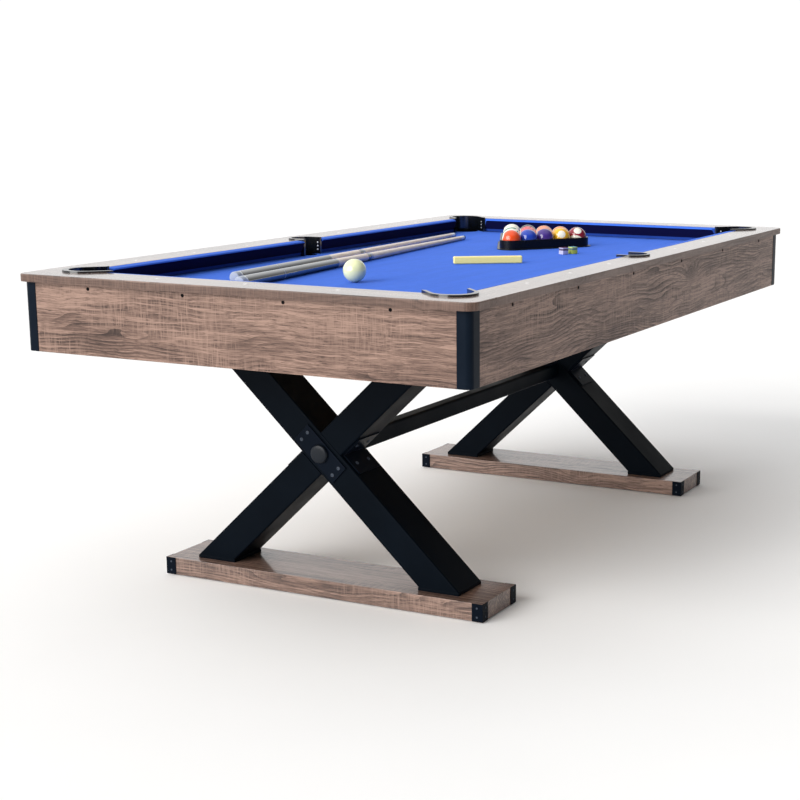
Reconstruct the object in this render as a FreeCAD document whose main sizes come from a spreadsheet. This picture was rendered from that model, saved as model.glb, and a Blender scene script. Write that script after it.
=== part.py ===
"""Pool table on two X-shaped steel legs, with its cues, balls, rack, brush and chalk.

Frame: origin on the floor under the middle of the table, +X along the table from the head
end to the foot end, +Y across it, +Z up.  Millimetres.
"""
import FreeCAD, Part
import math
import os
import Sketcher

Vector = FreeCAD.Vector
doc = FreeCAD.newDocument("PoolTable")
sheet = doc.addObject("Spreadsheet::Sheet", "Sizes")
sub_parts = []


# ---------------------------------------------------------------- sizes and their formulas
class Size:
    """A length with the spreadsheet formula that it comes from."""

    def __init__(self, value, formula):
        self.value = float(value)
        self.formula = formula

    def __add__(self, other):
        other = size_of(other)
        return Size(self.value + other.value, f"({self.formula} + {other.formula})")

    def __radd__(self, other):
        return size_of(other) + self

    def __sub__(self, other):
        other = size_of(other)
        return Size(self.value - other.value, f"({self.formula} - {other.formula})")

    def __rsub__(self, other):
        return size_of(other) - self

    def __mul__(self, other):
        other = size_of(other)
        return Size(self.value * other.value, f"({self.formula} * {other.formula})")

    def __rmul__(self, other):
        return size_of(other) * self

    def __truediv__(self, other):
        other = size_of(other)
        return Size(self.value / other.value, f"({self.formula} / {other.formula})")

    def __neg__(self):
        return Size(-self.value, f"(0 - {self.formula})")


def size_of(item):
    """A plain number, or a Size as it is."""
    return item if isinstance(item, Size) else Size(item, f"{float(item):.9g}")


def root(size):
    """Square root of a Size."""
    return Size(math.sqrt(size.value), f"sqrt({size.formula})")


def add_row(name, content):
    """Put one named cell in the sheet: its name in column A and its content in column B."""
    row = add_row.next_row
    add_row.next_row += 1
    sheet.set(f"A{row}", name)
    sheet.set(f"B{row}", content)
    sheet.setAlias(f"B{row}", name)


add_row.next_row = 1


def driving(name, value):
    """A size that can be set by itself."""
    add_row(name, str(value))
    return Size(value, f"Sizes.{name}")


def derived(name, size):
    """A size that follows from others, kept in the sheet under its own name."""
    add_row(name, "=" + size.formula.replace("Sizes.", ""))
    return Size(size.value, f"Sizes.{name}")


# ---------------------------------------------------------------- ways to make a piece
def bind(item, field, size):
    """Tie one field of an object to the sheet."""
    item.setExpression(field, size_of(size).formula)


def move(item, place):
    """Tie an object's position to the sheet."""
    for axis, size in zip("xyz", place):
        bind(item, f"Placement.Base.{axis}", size)
    return item


def turn(item, axis, angle):
    """Turn an object about one axis by an angle in degrees, tied to the sheet."""
    item.Placement = FreeCAD.Placement(item.Placement.Base, FreeCAD.Rotation(Vector(*axis), 10))
    bind(item, "Placement.Rotation.Angle", angle)
    return item


def box(name, low, high):
    """A block between its lowest and highest corners."""
    item = doc.addObject("Part::Box", name)
    for field, start, end in zip(("Length", "Width", "Height"), low, high):
        bind(item, field, size_of(end) - start)
    return move(item, low)


def cylinder(name, foot, radius, length, direction=(0, 0, 1)):
    """A cylinder that starts at its foot and runs along a direction."""
    item = doc.addObject("Part::Cylinder", name)
    item.Placement = FreeCAD.Placement(Vector(), FreeCAD.Rotation(Vector(0, 0, 1), Vector(*direction)))
    bind(item, "Radius", radius)
    bind(item, "Height", length)
    return move(item, foot)


def cone(name, first_radius, last_radius, length, start):
    """A tapered rod along +X of its own frame, from start onwards."""
    item = doc.addObject("Part::Cone", name)
    item.Placement = FreeCAD.Placement(Vector(), FreeCAD.Rotation(Vector(0, 0, 1), Vector(1, 0, 0)))
    bind(item, "Radius1", first_radius)
    bind(item, "Radius2", last_radius)
    bind(item, "Height", length)
    return move(item, (start, 0, 0))


def cut(name, base, *tools):
    """A base with tools taken out of it."""
    item = doc.addObject("Part::Cut", name)
    item.Base = base
    item.Tool = tools[0] if len(tools) == 1 else fuse(name + "_tools", *tools)
    return item


def fuse(name, *pieces):
    """Pieces joined into one."""
    item = doc.addObject("Part::MultiFuse", name)
    item.Shapes = list(pieces)
    return item


def common(name, first, second):
    """What two pieces share."""
    item = doc.addObject("Part::Common", name)
    item.Base = first
    item.Tool = second
    return item


def group(name, pieces):
    """Separate solids kept together in one node."""
    item = doc.addObject("Part::Compound", name)
    item.Links = list(pieces)
    return item


PLANES = {
    "XY": FreeCAD.Rotation(),
    "YZ": FreeCAD.Rotation(Vector(0, 1, 0), Vector(0, 0, 1), Vector(1, 0, 0), "ZXY"),
    "ZX": FreeCAD.Rotation(Vector(0, 0, 1), Vector(1, 0, 0), Vector(0, 1, 0), "ZXY"),
}
NORMALS = {"XY": 2, "YZ": 0, "ZX": 1}


def prism(name, plane, outline, start, end, rounded=()):
    """A padded outline: its corners lie in a plane, each tied to the sheet, from start to end.

    rounded lists (corner number, radius) for the edges that run along the pad.
    """
    body = doc.addObject("PartDesign::Body", name)
    sketch = body.newObject("Sketcher::SketchObject", name + "_outline")
    base_plane = [item for item in body.Origin.OriginFeatures if item.Role == "XY_Plane"][0]
    sketch.AttachmentSupport = [(base_plane, "")]
    sketch.MapMode = "FlatFace"
    corners = [tuple(size_of(size) for size in corner) for corner in outline]
    count = len(corners)
    spots = [Vector(corner[0].value, corner[1].value, 0) for corner in corners]
    for index in range(count):
        sketch.addGeometry(Part.LineSegment(spots[index], spots[(index + 1) % count]))
    for index in range(count):
        sketch.addConstraint(Sketcher.Constraint("Coincident", index, 2, (index + 1) % count, 1))
    for index, corner in enumerate(corners):
        for axis, size in zip("XY", corner):
            number = sketch.addConstraint(
                Sketcher.Constraint("Distance" + axis, -1, 1, index, 1, size.value))
            sketch.renameConstraint(number, f"corner{index}{axis}")
            bind(sketch, f"Constraints.corner{index}{axis}", size)
    pad = body.newObject("PartDesign::Pad", name + "_pad")
    pad.Profile = sketch
    bind(pad, "Length", size_of(end) - start)
    body.Placement = FreeCAD.Placement(Vector(), PLANES[plane])
    base = [0, 0, 0]
    base[NORMALS[plane]] = start
    move(body, base)
    for step, (corner_number, radius) in enumerate(rounded):
        doc.recompute()
        before = body.Tip
        fillet = body.newObject("PartDesign::Fillet", f"{name}_round{step}")
        edges = edges_at(before.Shape, spots[corner_number])
        fillet.Base = (before, edges)
        bind(fillet, "Radius", radius)
    return body


def edges_at(shape, spot):
    """Names of the edges that run along the pad over one corner of its outline."""
    names = []
    for number, edge in enumerate(shape.Edges, start=1):
        ends = [vertex.Point for vertex in edge.Vertexes]
        if len(ends) == 2 and all(math.hypot(end.x - spot.x, end.y - spot.y) < 0.01 for end in ends):
            names.append(f"Edge{number}")
    return names


def finished(item, label):
    """Name a finished sub-part."""
    item.Label = label
    sub_parts.append(item)
    return item


# ---------------------------------------------------------------- driving dimensions
table_length = driving("table_length", 2151)
table_width = driving("table_width", 1183)
table_height = driving("table_height", 787)

rail_thick = driving("rail_thick", 18)
end_rail_width = driving("end_rail_width", 104.5)
side_rail_width = driving("side_rail_width", 93.5)
rail_corner_radius = driving("rail_corner_radius", 28)
cushion_reach = driving("cushion_reach", 25)
nose_height = driving("nose_height", 41)
nose_face = driving("nose_face", 4)
cushion_foot = driving("cushion_foot", 9)
cushion_lift = driving("cushion_lift", 1)
bed_drop = driving("bed_drop", 44)
cloth_thick = driving("cloth_thick", 1)
bed_thick = driving("bed_thick", 24)
bed_clearance = driving("bed_clearance", 1)

apron_height = driving("apron_height", 162)
apron_thick = driving("apron_thick", 18)
apron_inset = driving("apron_inset", 13.5)
post_along_side = driving("post_along_side", 40)
post_along_end = driving("post_along_end", 32)
post_radius = driving("post_radius", 15)
post_proud = driving("post_proud", 0.8)
ledger_width = driving("ledger_width", 22)
ledger_height = driving("ledger_height", 40)

corner_pocket_radius = driving("corner_pocket_radius", 45)
corner_pocket_setback = driving("corner_pocket_setback", 11)
side_pocket_radius = driving("side_pocket_radius", 38)
side_pocket_setback = driving("side_pocket_setback", 32)
corner_lip_width = driving("corner_lip_width", 8)
corner_lip_back = driving("corner_lip_back", 7)
corner_jaw_short = driving("corner_jaw_short", 12)
side_jaw_short = driving("side_jaw_short", 5)
side_lip_width = driving("side_lip_width", 8)
lip_rise = driving("lip_rise", 4)
pocket_wall = driving("pocket_wall", 3.5)
corner_bucket_radius = driving("corner_bucket_radius", 40)
side_bucket_radius = driving("side_bucket_radius", 34)
bucket_depth = driving("bucket_depth", 104)
pocket_clearance = driving("pocket_clearance", 0.5)

sight_spacing = driving("sight_spacing", 236.5)
sight_setback = driving("sight_setback", 64)
sight_radius = driving("sight_radius", 5)
sight_rise = driving("sight_rise", 0.4)

leg_station = driving("leg_station", 668)
leg_spread = driving("leg_spread", 316.5)
beam_width = driving("beam_width", 75)
beam_depth = driving("beam_depth", 115)
beam_wall = driving("beam_wall", 2.5)
plate_thick = driving("plate_thick", 8)
plate_overhang = driving("plate_overhang", 0.5)
cross_member_height = driving("cross_member_height", 60)
cover_half_length = driving("cover_half_length", 72)
cover_width = driving("cover_width", 55)
cover_thick = driving("cover_thick", 4)
cover_screw_along = driving("cover_screw_along", 58)
cover_screw_across = driving("cover_screw_across", 12.5)
hub_radius = driving("hub_radius", 23)
hub_rise = driving("hub_rise", 9)
bracket_leaf = driving("bracket_leaf", 62)
bracket_width = driving("bracket_width", 96)
bracket_thick = driving("bracket_thick", 3)
bracket_screw_along = driving("bracket_screw_along", 34)
bracket_screw_across = driving("bracket_screw_across", 26)
screw_radius = driving("screw_radius", 4.5)
screw_rise = driving("screw_rise", 2)

foot_board_length = driving("foot_board_length", 896)
foot_board_width = driving("foot_board_width", 175)
foot_board_height = driving("foot_board_height", 43.5)
cap_leaf = driving("cap_leaf", 27)
cap_thick = driving("cap_thick", 1.5)
cap_screw_radius = driving("cap_screw_radius", 2.6)
cap_screw_rise = driving("cap_screw_rise", 0.8)
cap_screw_rows = driving("cap_screw_rows", 11)
leveller_station = driving("leveller_station", 395)
leveller_show = driving("leveller_show", 2)
leveller_pad_radius = driving("leveller_pad_radius", 20)
leveller_pad_height = driving("leveller_pad_height", 6)
leveller_stem_radius = driving("leveller_stem_radius", 5)
leveller_stem_length = driving("leveller_stem_length", 26)
leveller_clearance = driving("leveller_clearance", 0.3)
recess_clearance = driving("recess_clearance", 2)

stretcher_width = driving("stretcher_width", 40)
stretcher_height = driving("stretcher_height", 44)
stretcher_wall = driving("stretcher_wall", 2.5)
angle_leaf = driving("angle_leaf", 45)
angle_width = driving("angle_width", 34)
angle_thick = driving("angle_thick", 3)

apron_screw_radius = driving("apron_screw_radius", 4)
apron_screw_rise = driving("apron_screw_rise", 1.2)
apron_screw_drop = driving("apron_screw_drop", 9)
end_screw_near = driving("end_screw_near", 131)
end_screw_far = driving("end_screw_far", 393)
side_screw_near = driving("side_screw_near", 175)
side_screw_middle = driving("side_screw_middle", 521)
side_screw_far = driving("side_screw_far", 868)

ball_radius = driving("ball_radius", 28.575)
ball_gap = driving("ball_gap", 0.3)
rest_gap = driving("rest_gap", 0.25)
cue_ball_setback = driving("cue_ball_setback", 406)
cue_ball_y = driving("cue_ball_y", 10)
rack_setback = driving("rack_setback", 389)
rack_y = driving("rack_y", 41)
rack_angle = driving("rack_angle", -34.5)
rack_wall = driving("rack_wall", 6)
rack_height = driving("rack_height", 28)
rack_ball_clearance = driving("rack_ball_clearance", 0.6)
rack_flange_width = driving("rack_flange_width", 8)
rack_flange_height = driving("rack_flange_height", 2.5)

cue_length = driving("cue_length", 1450)
cue_butt_length = driving("cue_butt_length", 730)
cue_butt_radius = driving("cue_butt_radius", 14.5)
cue_tip_radius = driving("cue_tip_radius", 6.5)
cue_1_setback = driving("cue_1_setback", 241)
cue_1_side_gap = driving("cue_1_side_gap", 221)
cue_1_angle = driving("cue_1_angle", 6.1)
cue_2_setback = driving("cue_2_setback", 159)
cue_2_side_gap = driving("cue_2_side_gap", 293)
cue_2_angle = driving("cue_2_angle", 5.9)

chalk_size = driving("chalk_size", 20)
chalk_1_x = driving("chalk_1_x", 352)
chalk_1_y = driving("chalk_1_y", -152)
chalk_2_x = driving("chalk_2_x", 384)
chalk_2_y = driving("chalk_2_y", -167)
chalk_angle = driving("chalk_angle", -28)
brush_x = driving("brush_x", 17)
brush_y = driving("brush_y", -74.5)
brush_angle = driving("brush_angle", -54)
brush_length = driving("brush_length", 190)
brush_width = driving("brush_width", 18)
brush_height = driving("brush_height", 20)
bristle_reach = driving("bristle_reach", 24)
bristle_inset = driving("bristle_inset", 1)
bristle_height = driving("bristle_height", 15)

# ---------------------------------------------------------------- levels and stations
half_length = derived("half_length", table_length / 2)
half_width = derived("half_width", table_width / 2)
rail_bottom = derived("rail_bottom", table_height - rail_thick)
bed_top = derived("bed_top", table_height - bed_drop)
board_top = derived("board_top", bed_top - cloth_thick)
board_bottom = derived("board_bottom", board_top - bed_thick)
apron_bottom = derived("apron_bottom", rail_bottom - apron_height)
rail_inner_x = derived("rail_inner_x", half_length - end_rail_width)
rail_inner_y = derived("rail_inner_y", half_width - side_rail_width)
nose_x = derived("nose_x", rail_inner_x - cushion_reach)
nose_y = derived("nose_y", rail_inner_y - cushion_reach)
apron_outer_x = derived("apron_outer_x", half_length - apron_inset)
apron_outer_y = derived("apron_outer_y", half_width - apron_inset)
apron_inner_x = derived("apron_inner_x", apron_outer_x - apron_thick)
apron_inner_y = derived("apron_inner_y", apron_outer_y - apron_thick)
bed_half_length = derived("bed_half_length", apron_inner_x - bed_clearance)
bed_half_width = derived("bed_half_width", apron_inner_y - bed_clearance)
corner_pocket_x = derived("corner_pocket_x", nose_x + corner_pocket_setback / math.sqrt(2))
corner_pocket_y = derived("corner_pocket_y", nose_y + corner_pocket_setback / math.sqrt(2))
side_pocket_y = derived("side_pocket_y", nose_y + side_pocket_setback)
cue_ball_x = derived("cue_ball_x", cue_ball_setback - nose_x)
rack_x = derived("rack_x", nose_x - rack_setback)
cue_1_x = derived("cue_1_x", cue_1_setback - nose_x)
cue_1_y = derived("cue_1_y", nose_y - cue_1_side_gap)
cue_2_x = derived("cue_2_x", cue_2_setback - nose_x)
cue_2_y = derived("cue_2_y", nose_y - cue_2_side_gap)

foot_board_bottom = leveller_show
foot_board_top = derived("foot_board_top", leveller_show + foot_board_height)
leg_foot = derived("leg_foot", foot_board_top + plate_thick)
cross_member_bottom = derived("cross_member_bottom", board_bottom - cross_member_height)
leg_top = derived("leg_top", cross_member_bottom - plate_thick)
crossing = derived("crossing", (leg_foot + leg_top) / 2)
leg_rise = derived("leg_rise", leg_top - leg_foot)
beam_length = derived("beam_length", root(leg_rise * leg_rise + 4 * leg_spread * leg_spread))
lean_sine = derived("lean_sine", leg_rise / beam_length)
lean_cosine = derived("lean_cosine", 2 * leg_spread / beam_length)
beam_half_foot = derived("beam_half_foot", beam_width / (2 * lean_sine))
notch_height = derived("notch_height", beam_half_foot * lean_sine / lean_cosine)
lean_angle = Size(math.degrees(math.atan2(leg_rise.value, 2 * leg_spread.value)),
                  "(atan2(Sizes.leg_rise; 2 * Sizes.leg_spread) / 1 deg)")
RIGHT_ANGLE = 90


def mirrored(sign, size):
    """A size on the + or - side."""
    return size_of(size) if sign > 0 else -size_of(size)


def span(sign, near, far):
    """The lower and higher end of a stretch that lies from near to far on one side."""
    return (near, far) if sign > 0 else (-size_of(far), -size_of(near))


# ---------------------------------------------------------------- pocket outlines
def u_prism(name, radius, bottom, top, reach):
    """A U seen from above, round about its own origin and open for reach along +X."""
    round_end = cylinder(name + "_round", (0, 0, bottom), radius, size_of(top) - bottom)
    arms = box(name + "_arms", (0, -size_of(radius), bottom), (reach, radius, top))
    return fuse(name, round_end, arms)


def corner_wedge(name, tip, bottom, top, reach):
    """A square corner that points along -X of the pocket's own frame, its tip at (tip, 0)."""
    return prism(name, "XY", [(tip, 0), (tip + reach, -size_of(reach)), (tip + 2 * reach, 0),
                              (tip + reach, reach)], bottom, top)


REACH = 130


def pocket_places():
    """Each pocket: its name, whether it is a corner, its centre and the way its mouth points."""
    places = []
    for end, x_sign in (("head", -1), ("foot", 1)):
        for side, y_sign in (("right", -1), ("left", 1)):
            angle = math.degrees(math.atan2(-y_sign, -x_sign))
            centre = (mirrored(x_sign, corner_pocket_x), mirrored(y_sign, corner_pocket_y))
            places.append((f"{end}_{side}", True, centre, angle))
    for side, y_sign in (("right", -1), ("left", 1)):
        places.append((f"middle_{side}", False, (0, mirrored(y_sign, side_pocket_y)), -90 * y_sign))
    return places


POCKETS = pocket_places()


def set_at(item, centre, angle):
    """Stand a piece at a pocket's centre, turned so that its mouth points over the bed."""
    item.Placement = FreeCAD.Placement(Vector(), FreeCAD.Rotation(Vector(0, 0, 1), angle))
    return move(item, (centre[0], centre[1], 0))


def pocket(name, is_corner, centre, angle):
    """A one-piece moulded pocket: lip on the rails, jaw arms, back wall and ball bucket."""
    inner = corner_pocket_radius if is_corner else side_pocket_radius
    lip = inner + (corner_lip_width if is_corner else side_lip_width)
    bucket_radius = corner_bucket_radius if is_corner else side_bucket_radius
    wall = inner + pocket_wall
    lip_top = table_height + lip_rise
    lip_back = corner_lip_back if is_corner else size_of(0)
    cushion_zone = cushion_reach * math.sqrt(2) if is_corner else cushion_reach
    nose_tip = corner_pocket_setback if is_corner else side_pocket_setback
    jaw_tip = nose_tip - (corner_jaw_short if is_corner else side_jaw_short)

    def over_play(suffix):
        if is_corner:
            return corner_wedge(f"{name}_{suffix}", jaw_tip, bed_top - 1, lip_top + 1, REACH)
        return box(f"{name}_{suffix}", (jaw_tip, -REACH, bed_top - 1), (REACH, REACH, lip_top + 1))

    def over_cushion(suffix):
        start = nose_tip - cushion_zone
        if is_corner:
            return corner_wedge(f"{name}_{suffix}", start, bed_top + cushion_lift, table_height, REACH)
        return box(f"{name}_{suffix}", (start, -REACH, bed_top + cushion_lift),
                   (REACH, REACH, table_height))

    ring = u_prism(name + "_ring", lip, table_height, lip_top, REACH)
    top_ring = group(name + "_lip", [move(ring, (-lip_back, 0, 0))])
    jaws = common(name + "_jaws",
                  u_prism(name + "_jaw_block", lip, bed_top + cushion_lift, table_height, REACH),
                  over_cushion("jaw_zone"))
    back_wall = u_prism(name + "_wall", wall, bed_top, table_height, REACH)
    upper = cut(name + "_upper", fuse(name + "_outside", top_ring, jaws, back_wall),
                u_prism(name + "_inside", inner, bed_top - 1, lip_top + 1, REACH),
                over_play("play_area"))
    bucket_x = bucket_radius - inner
    bucket = cylinder(name + "_bucket", (bucket_x, 0, bed_top - bucket_depth),
                      bucket_radius + pocket_wall, bucket_depth)
    hollow = cylinder(name + "_hollow", (bucket_x, 0, bed_top - bucket_depth + pocket_wall),
                      bucket_radius, bucket_depth)
    lower = cut(name + "_lower", bucket, hollow)
    return finished(set_at(fuse(name + "_pocket_shape", upper, lower), centre, angle), name + "_pocket")


def rail_cutters(label, rows):
    """Cuts through the rails for the pockets' back walls."""
    cutters = []
    for name, is_corner, centre, angle in rows:
        inner = corner_pocket_radius if is_corner else side_pocket_radius
        cutter = u_prism(f"{label}_{name}_cutter", inner + pocket_wall + pocket_clearance,
                         rail_bottom - 1, table_height + 1, REACH)
        cutters.append(set_at(cutter, centre, angle))
    return cutters


def bed_cutters(label):
    """Cuts through the bed for the ball buckets, open to the board's edge at the sides."""
    cutters = []
    for name, is_corner, centre, angle in POCKETS:
        bucket_radius = corner_bucket_radius if is_corner else side_bucket_radius
        inner = corner_pocket_radius if is_corner else side_pocket_radius
        radius = bucket_radius + pocket_wall + pocket_clearance
        start = bucket_radius - inner
        hole = cylinder(f"{label}_{name}_hole", (start, 0, board_bottom - 1), radius, bed_thick + 3)
        if not is_corner:
            slot = box(f"{label}_{name}_slot", (start - REACH, -radius, board_bottom - 1),
                       (start, radius, bed_top + 1))
            hole = fuse(f"{label}_{name}_notch", hole, slot)
        cutters.append(set_at(group(f"{label}_{name}_cutter", [hole]), centre, angle))
    return cutters


def make_pockets():
    for row in POCKETS:
        pocket(*row)


# ---------------------------------------------------------------- rails, cushions and bed
def make_rail_caps():
    """Four laminated rail boards: the end boards run full width, the side boards fit between."""
    for end, x_sign in (("head", -1), ("foot", 1)):
        low_x, high_x = span(x_sign, rail_inner_x, half_length)
        outline = [(low_x, -half_width), (high_x, -half_width), (high_x, half_width), (low_x, half_width)]
        outer = (1, 2) if x_sign > 0 else (0, 3)
        board = prism(end + "_rail_board", "XY", outline, rail_bottom, table_height,
                      [(corner, rail_corner_radius) for corner in outer])
        rows = [row for row in POCKETS if row[0].startswith(end)]
        finished(cut(end + "_rail_cap_shape", board, *rail_cutters(end + "_rail", rows)),
                 end + "_rail_cap")
    for side, y_sign in (("right", -1), ("left", 1)):
        low_y, high_y = span(y_sign, rail_inner_y, half_width)
        board = box(side + "_rail_board", (-rail_inner_x, low_y, rail_bottom),
                    (rail_inner_x, high_y, table_height))
        rows = [row for row in POCKETS if row[0].endswith(side)]
        finished(cut(side + "_rail_cap_shape", board, *rail_cutters(side + "_rail", rows)),
                 side + "_rail_cap")


def corner_cut_at(offset, depth):
    """How far short of the nose corner a 45 degree cut lies, depth behind the nose line."""
    return offset * math.sqrt(2) - depth


def side_outline(x_sign, y_sign, start, offset, near, far):
    """Plan of a piece on a side rail: square at the side pocket, 45 degrees at the corner."""
    corners = [(start, near), (nose_x - corner_cut_at(offset, near - nose_y), near),
               (nose_x - corner_cut_at(offset, far - nose_y), far), (start, far)]
    return [(mirrored(x_sign, x), mirrored(y_sign, y)) for x, y in corners]


def end_outline(x_sign, offset, near, far):
    """Plan of a piece on an end rail, cut at 45 degrees at both ends."""
    near_y = nose_y - corner_cut_at(offset, near - nose_x)
    far_y = nose_y - corner_cut_at(offset, far - nose_x)
    corners = [(near, -near_y), (near, near_y), (far, far_y), (far, -far_y)]
    return [(mirrored(x_sign, x), y) for x, y in corners]


def cushion_section(sign, back):
    """Section of a cushion: its back on the rail board and its nose over the bed."""
    nose = bed_top + nose_height
    points = [(back, bed_top + cushion_lift), (back, table_height),
              (back - cushion_reach * 0.8, nose + 2.5), (back - cushion_reach, nose),
              (back - cushion_reach, nose - nose_face), (back - cushion_foot, bed_top + cushion_lift)]
    return [(mirrored(sign, across), height) for across, height in points]


def make_cushions():
    """Six rubber cushions and, behind them, the six wooden blocks that they are glued to."""
    blocks = []
    jaw = corner_pocket_radius + corner_lip_width + pocket_clearance
    wall = corner_pocket_radius + pocket_wall + pocket_clearance
    side_jaw = side_pocket_radius + side_lip_width + pocket_clearance
    side_wall = side_pocket_radius + pocket_wall + pocket_clearance
    low = bed_top
    high = table_height + 1
    for end, x_sign in (("head", -1), ("foot", 1)):
        section = [(height, across) for across, height in cushion_section(x_sign, rail_inner_x)]
        rod = prism(end + "_cushion_rod", "ZX", section, -nose_y, nose_y)
        plan = prism(end + "_cushion_plan", "XY", end_outline(x_sign, jaw, nose_x, rail_inner_x), low, high)
        finished(common(end + "_cushion_shape", rod, plan), end + "_cushion")
        blocks.append(prism(end + "_block", "XY", end_outline(x_sign, wall, rail_inner_x, apron_inner_x),
                            bed_top, rail_bottom))
        for side, y_sign in (("right", -1), ("left", 1)):
            name = f"{side}_{end}"
            section = cushion_section(y_sign, rail_inner_y)
            start, stop = span(x_sign, side_jaw, nose_x)
            rod = prism(name + "_cushion_rod", "YZ", section, start, stop)
            outline = side_outline(x_sign, y_sign, side_jaw, jaw, nose_y, rail_inner_y)
            plan = prism(name + "_cushion_plan", "XY", outline, low, high)
            finished(common(name + "_cushion_shape", rod, plan), name + "_cushion")
            outline = side_outline(x_sign, y_sign, side_wall, wall, rail_inner_y, apron_inner_y)
            blocks.append(prism(name + "_block", "XY", outline, bed_top, rail_bottom))
    finished(group("rail_blocks_group", blocks), "rail_blocks")


def make_bed():
    """The bed board, the cloth on it and the ledgers that carry its edges."""
    board = box("bed_blank", (-bed_half_length, -bed_half_width, board_bottom),
                (bed_half_length, bed_half_width, board_top))
    finished(cut("bed_board_shape", board, *bed_cutters("board")), "bed_board")
    cloth = box("cloth_blank", (-bed_half_length, -bed_half_width, board_top),
                (bed_half_length, bed_half_width, bed_top))
    finished(cut("bed_cloth_shape", cloth, *bed_cutters("cloth")), "bed_cloth")
    ledgers = []
    bottom = board_bottom - ledger_height
    free_x = side_bucket_radius + pocket_wall + pocket_clearance + 6
    end_gap = corner_bucket_radius + pocket_wall + 12
    for x_sign in (-1, 1):
        low_x, high_x = span(x_sign, apron_inner_x - ledger_width, apron_inner_x)
        reach = nose_y - end_gap
        ledgers.append(box(f"end_ledger_{x_sign + 1}", (low_x, -reach, bottom),
                           (high_x, reach, board_bottom)))
        for y_sign in (-1, 1):
            low_y, high_y = span(y_sign, apron_inner_y - ledger_width, apron_inner_y)
            stretches = ((free_x, leg_station - beam_depth / 2 - plate_overhang),
                         (leg_station + beam_depth / 2 + plate_overhang, nose_x - end_gap))
            for number, (near, far) in enumerate(stretches):
                start, stop = span(x_sign, near, far)
                name = f"side_ledger_{x_sign + 1}_{y_sign + 1}_{number}"
                ledgers.append(box(name, (start, low_y, bottom), (stop, high_y, board_bottom)))
    finished(group("bed_ledgers_group", ledgers), "bed_ledgers")


def make_sights():
    """Round sights let into the rail tops."""
    sights = []
    for x_sign in (-1, 1):
        for step in (-1, 0, 1):
            spot = (mirrored(x_sign, nose_x + sight_setback), step * sight_spacing, table_height)
            sights.append(cylinder(f"end_sight_{x_sign + 1}_{step + 1}", spot, sight_radius, sight_rise))
    for y_sign in (-1, 1):
        for step in (-3, -2, -1, 1, 2, 3):
            spot = (step * sight_spacing, mirrored(y_sign, nose_y + sight_setback), table_height)
            sights.append(cylinder(f"side_sight_{y_sign + 1}_{step + 3}", spot, sight_radius, sight_rise))
    finished(group("rail_sights_group", sights), "rail_sights")


# ---------------------------------------------------------------- cabinet
def make_cabinet():
    """Four aprons between four rounded corner posts, and the screws along their tops."""
    end_reach = apron_outer_y - post_along_end
    side_reach = apron_outer_x - post_along_side
    for end, x_sign in (("head", -1), ("foot", 1)):
        low_x, high_x = span(x_sign, apron_inner_x, apron_outer_x)
        board = box(end + "_apron_board", (low_x, -end_reach, apron_bottom),
                    (high_x, end_reach, rail_bottom))
        finished(board, end + "_apron")
    for side, y_sign in (("right", -1), ("left", 1)):
        low_y, high_y = span(y_sign, apron_inner_y, apron_outer_y)
        finished(box(side + "_apron_board", (-side_reach, low_y, apron_bottom),
                     (side_reach, high_y, rail_bottom)), side + "_apron")
    face_x = apron_outer_x + post_proud
    face_y = apron_outer_y + post_proud
    posts = []
    for x_sign in (-1, 1):
        for y_sign in (-1, 1):
            corners = [(side_reach, apron_inner_y), (side_reach, face_y), (face_x, face_y),
                       (face_x, end_reach), (apron_inner_x, end_reach), (apron_inner_x, apron_inner_y)]
            outline = [(mirrored(x_sign, x), mirrored(y_sign, y)) for x, y in corners]
            posts.append(prism(f"post_{x_sign + 1}_{y_sign + 1}", "XY", outline, apron_bottom, rail_bottom,
                               [(2, post_radius)]))
    finished(group("corner_posts_group", posts), "corner_posts")
    height = rail_bottom - apron_screw_drop
    screws = []
    for x_sign in (-1, 1):
        for y_sign in (-1, 1):
            for number, offset in enumerate((end_screw_near, end_screw_far)):
                spot = (mirrored(x_sign, apron_outer_x), mirrored(y_sign, offset), height)
                screws.append(cylinder(f"end_screw_{x_sign + 1}_{y_sign + 1}_{number}", spot,
                                       apron_screw_radius, apron_screw_rise, (x_sign, 0, 0)))
            for number, offset in enumerate((side_screw_near, side_screw_middle, side_screw_far)):
                spot = (mirrored(x_sign, offset), mirrored(y_sign, apron_outer_y), height)
                screws.append(cylinder(f"side_screw_{x_sign + 1}_{y_sign + 1}_{number}", spot,
                                       apron_screw_radius, apron_screw_rise, (0, y_sign, 0)))
    finished(group("apron_screws_group", screws), "apron_screws")


# ---------------------------------------------------------------- legs
def on_beam(y_sign, along, across):
    """A spot in the leg's plane, along and across the beam whose top leans to the +Y or -Y side."""
    y = size_of(along) * lean_cosine - size_of(across) * lean_sine
    z = crossing + size_of(along) * lean_sine + size_of(across) * lean_cosine
    return mirrored(y_sign, y), z


def tube(name, outline, bore, start, stop):
    """A rectangular tube along the leg's plane, open at its ends."""
    outside = prism(name + "_outside", "YZ", outline, start, stop)
    inside = prism(name + "_inside", "YZ", bore, start + beam_wall, stop - beam_wall)
    return cut(name + "_tube", outside, inside)


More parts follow.
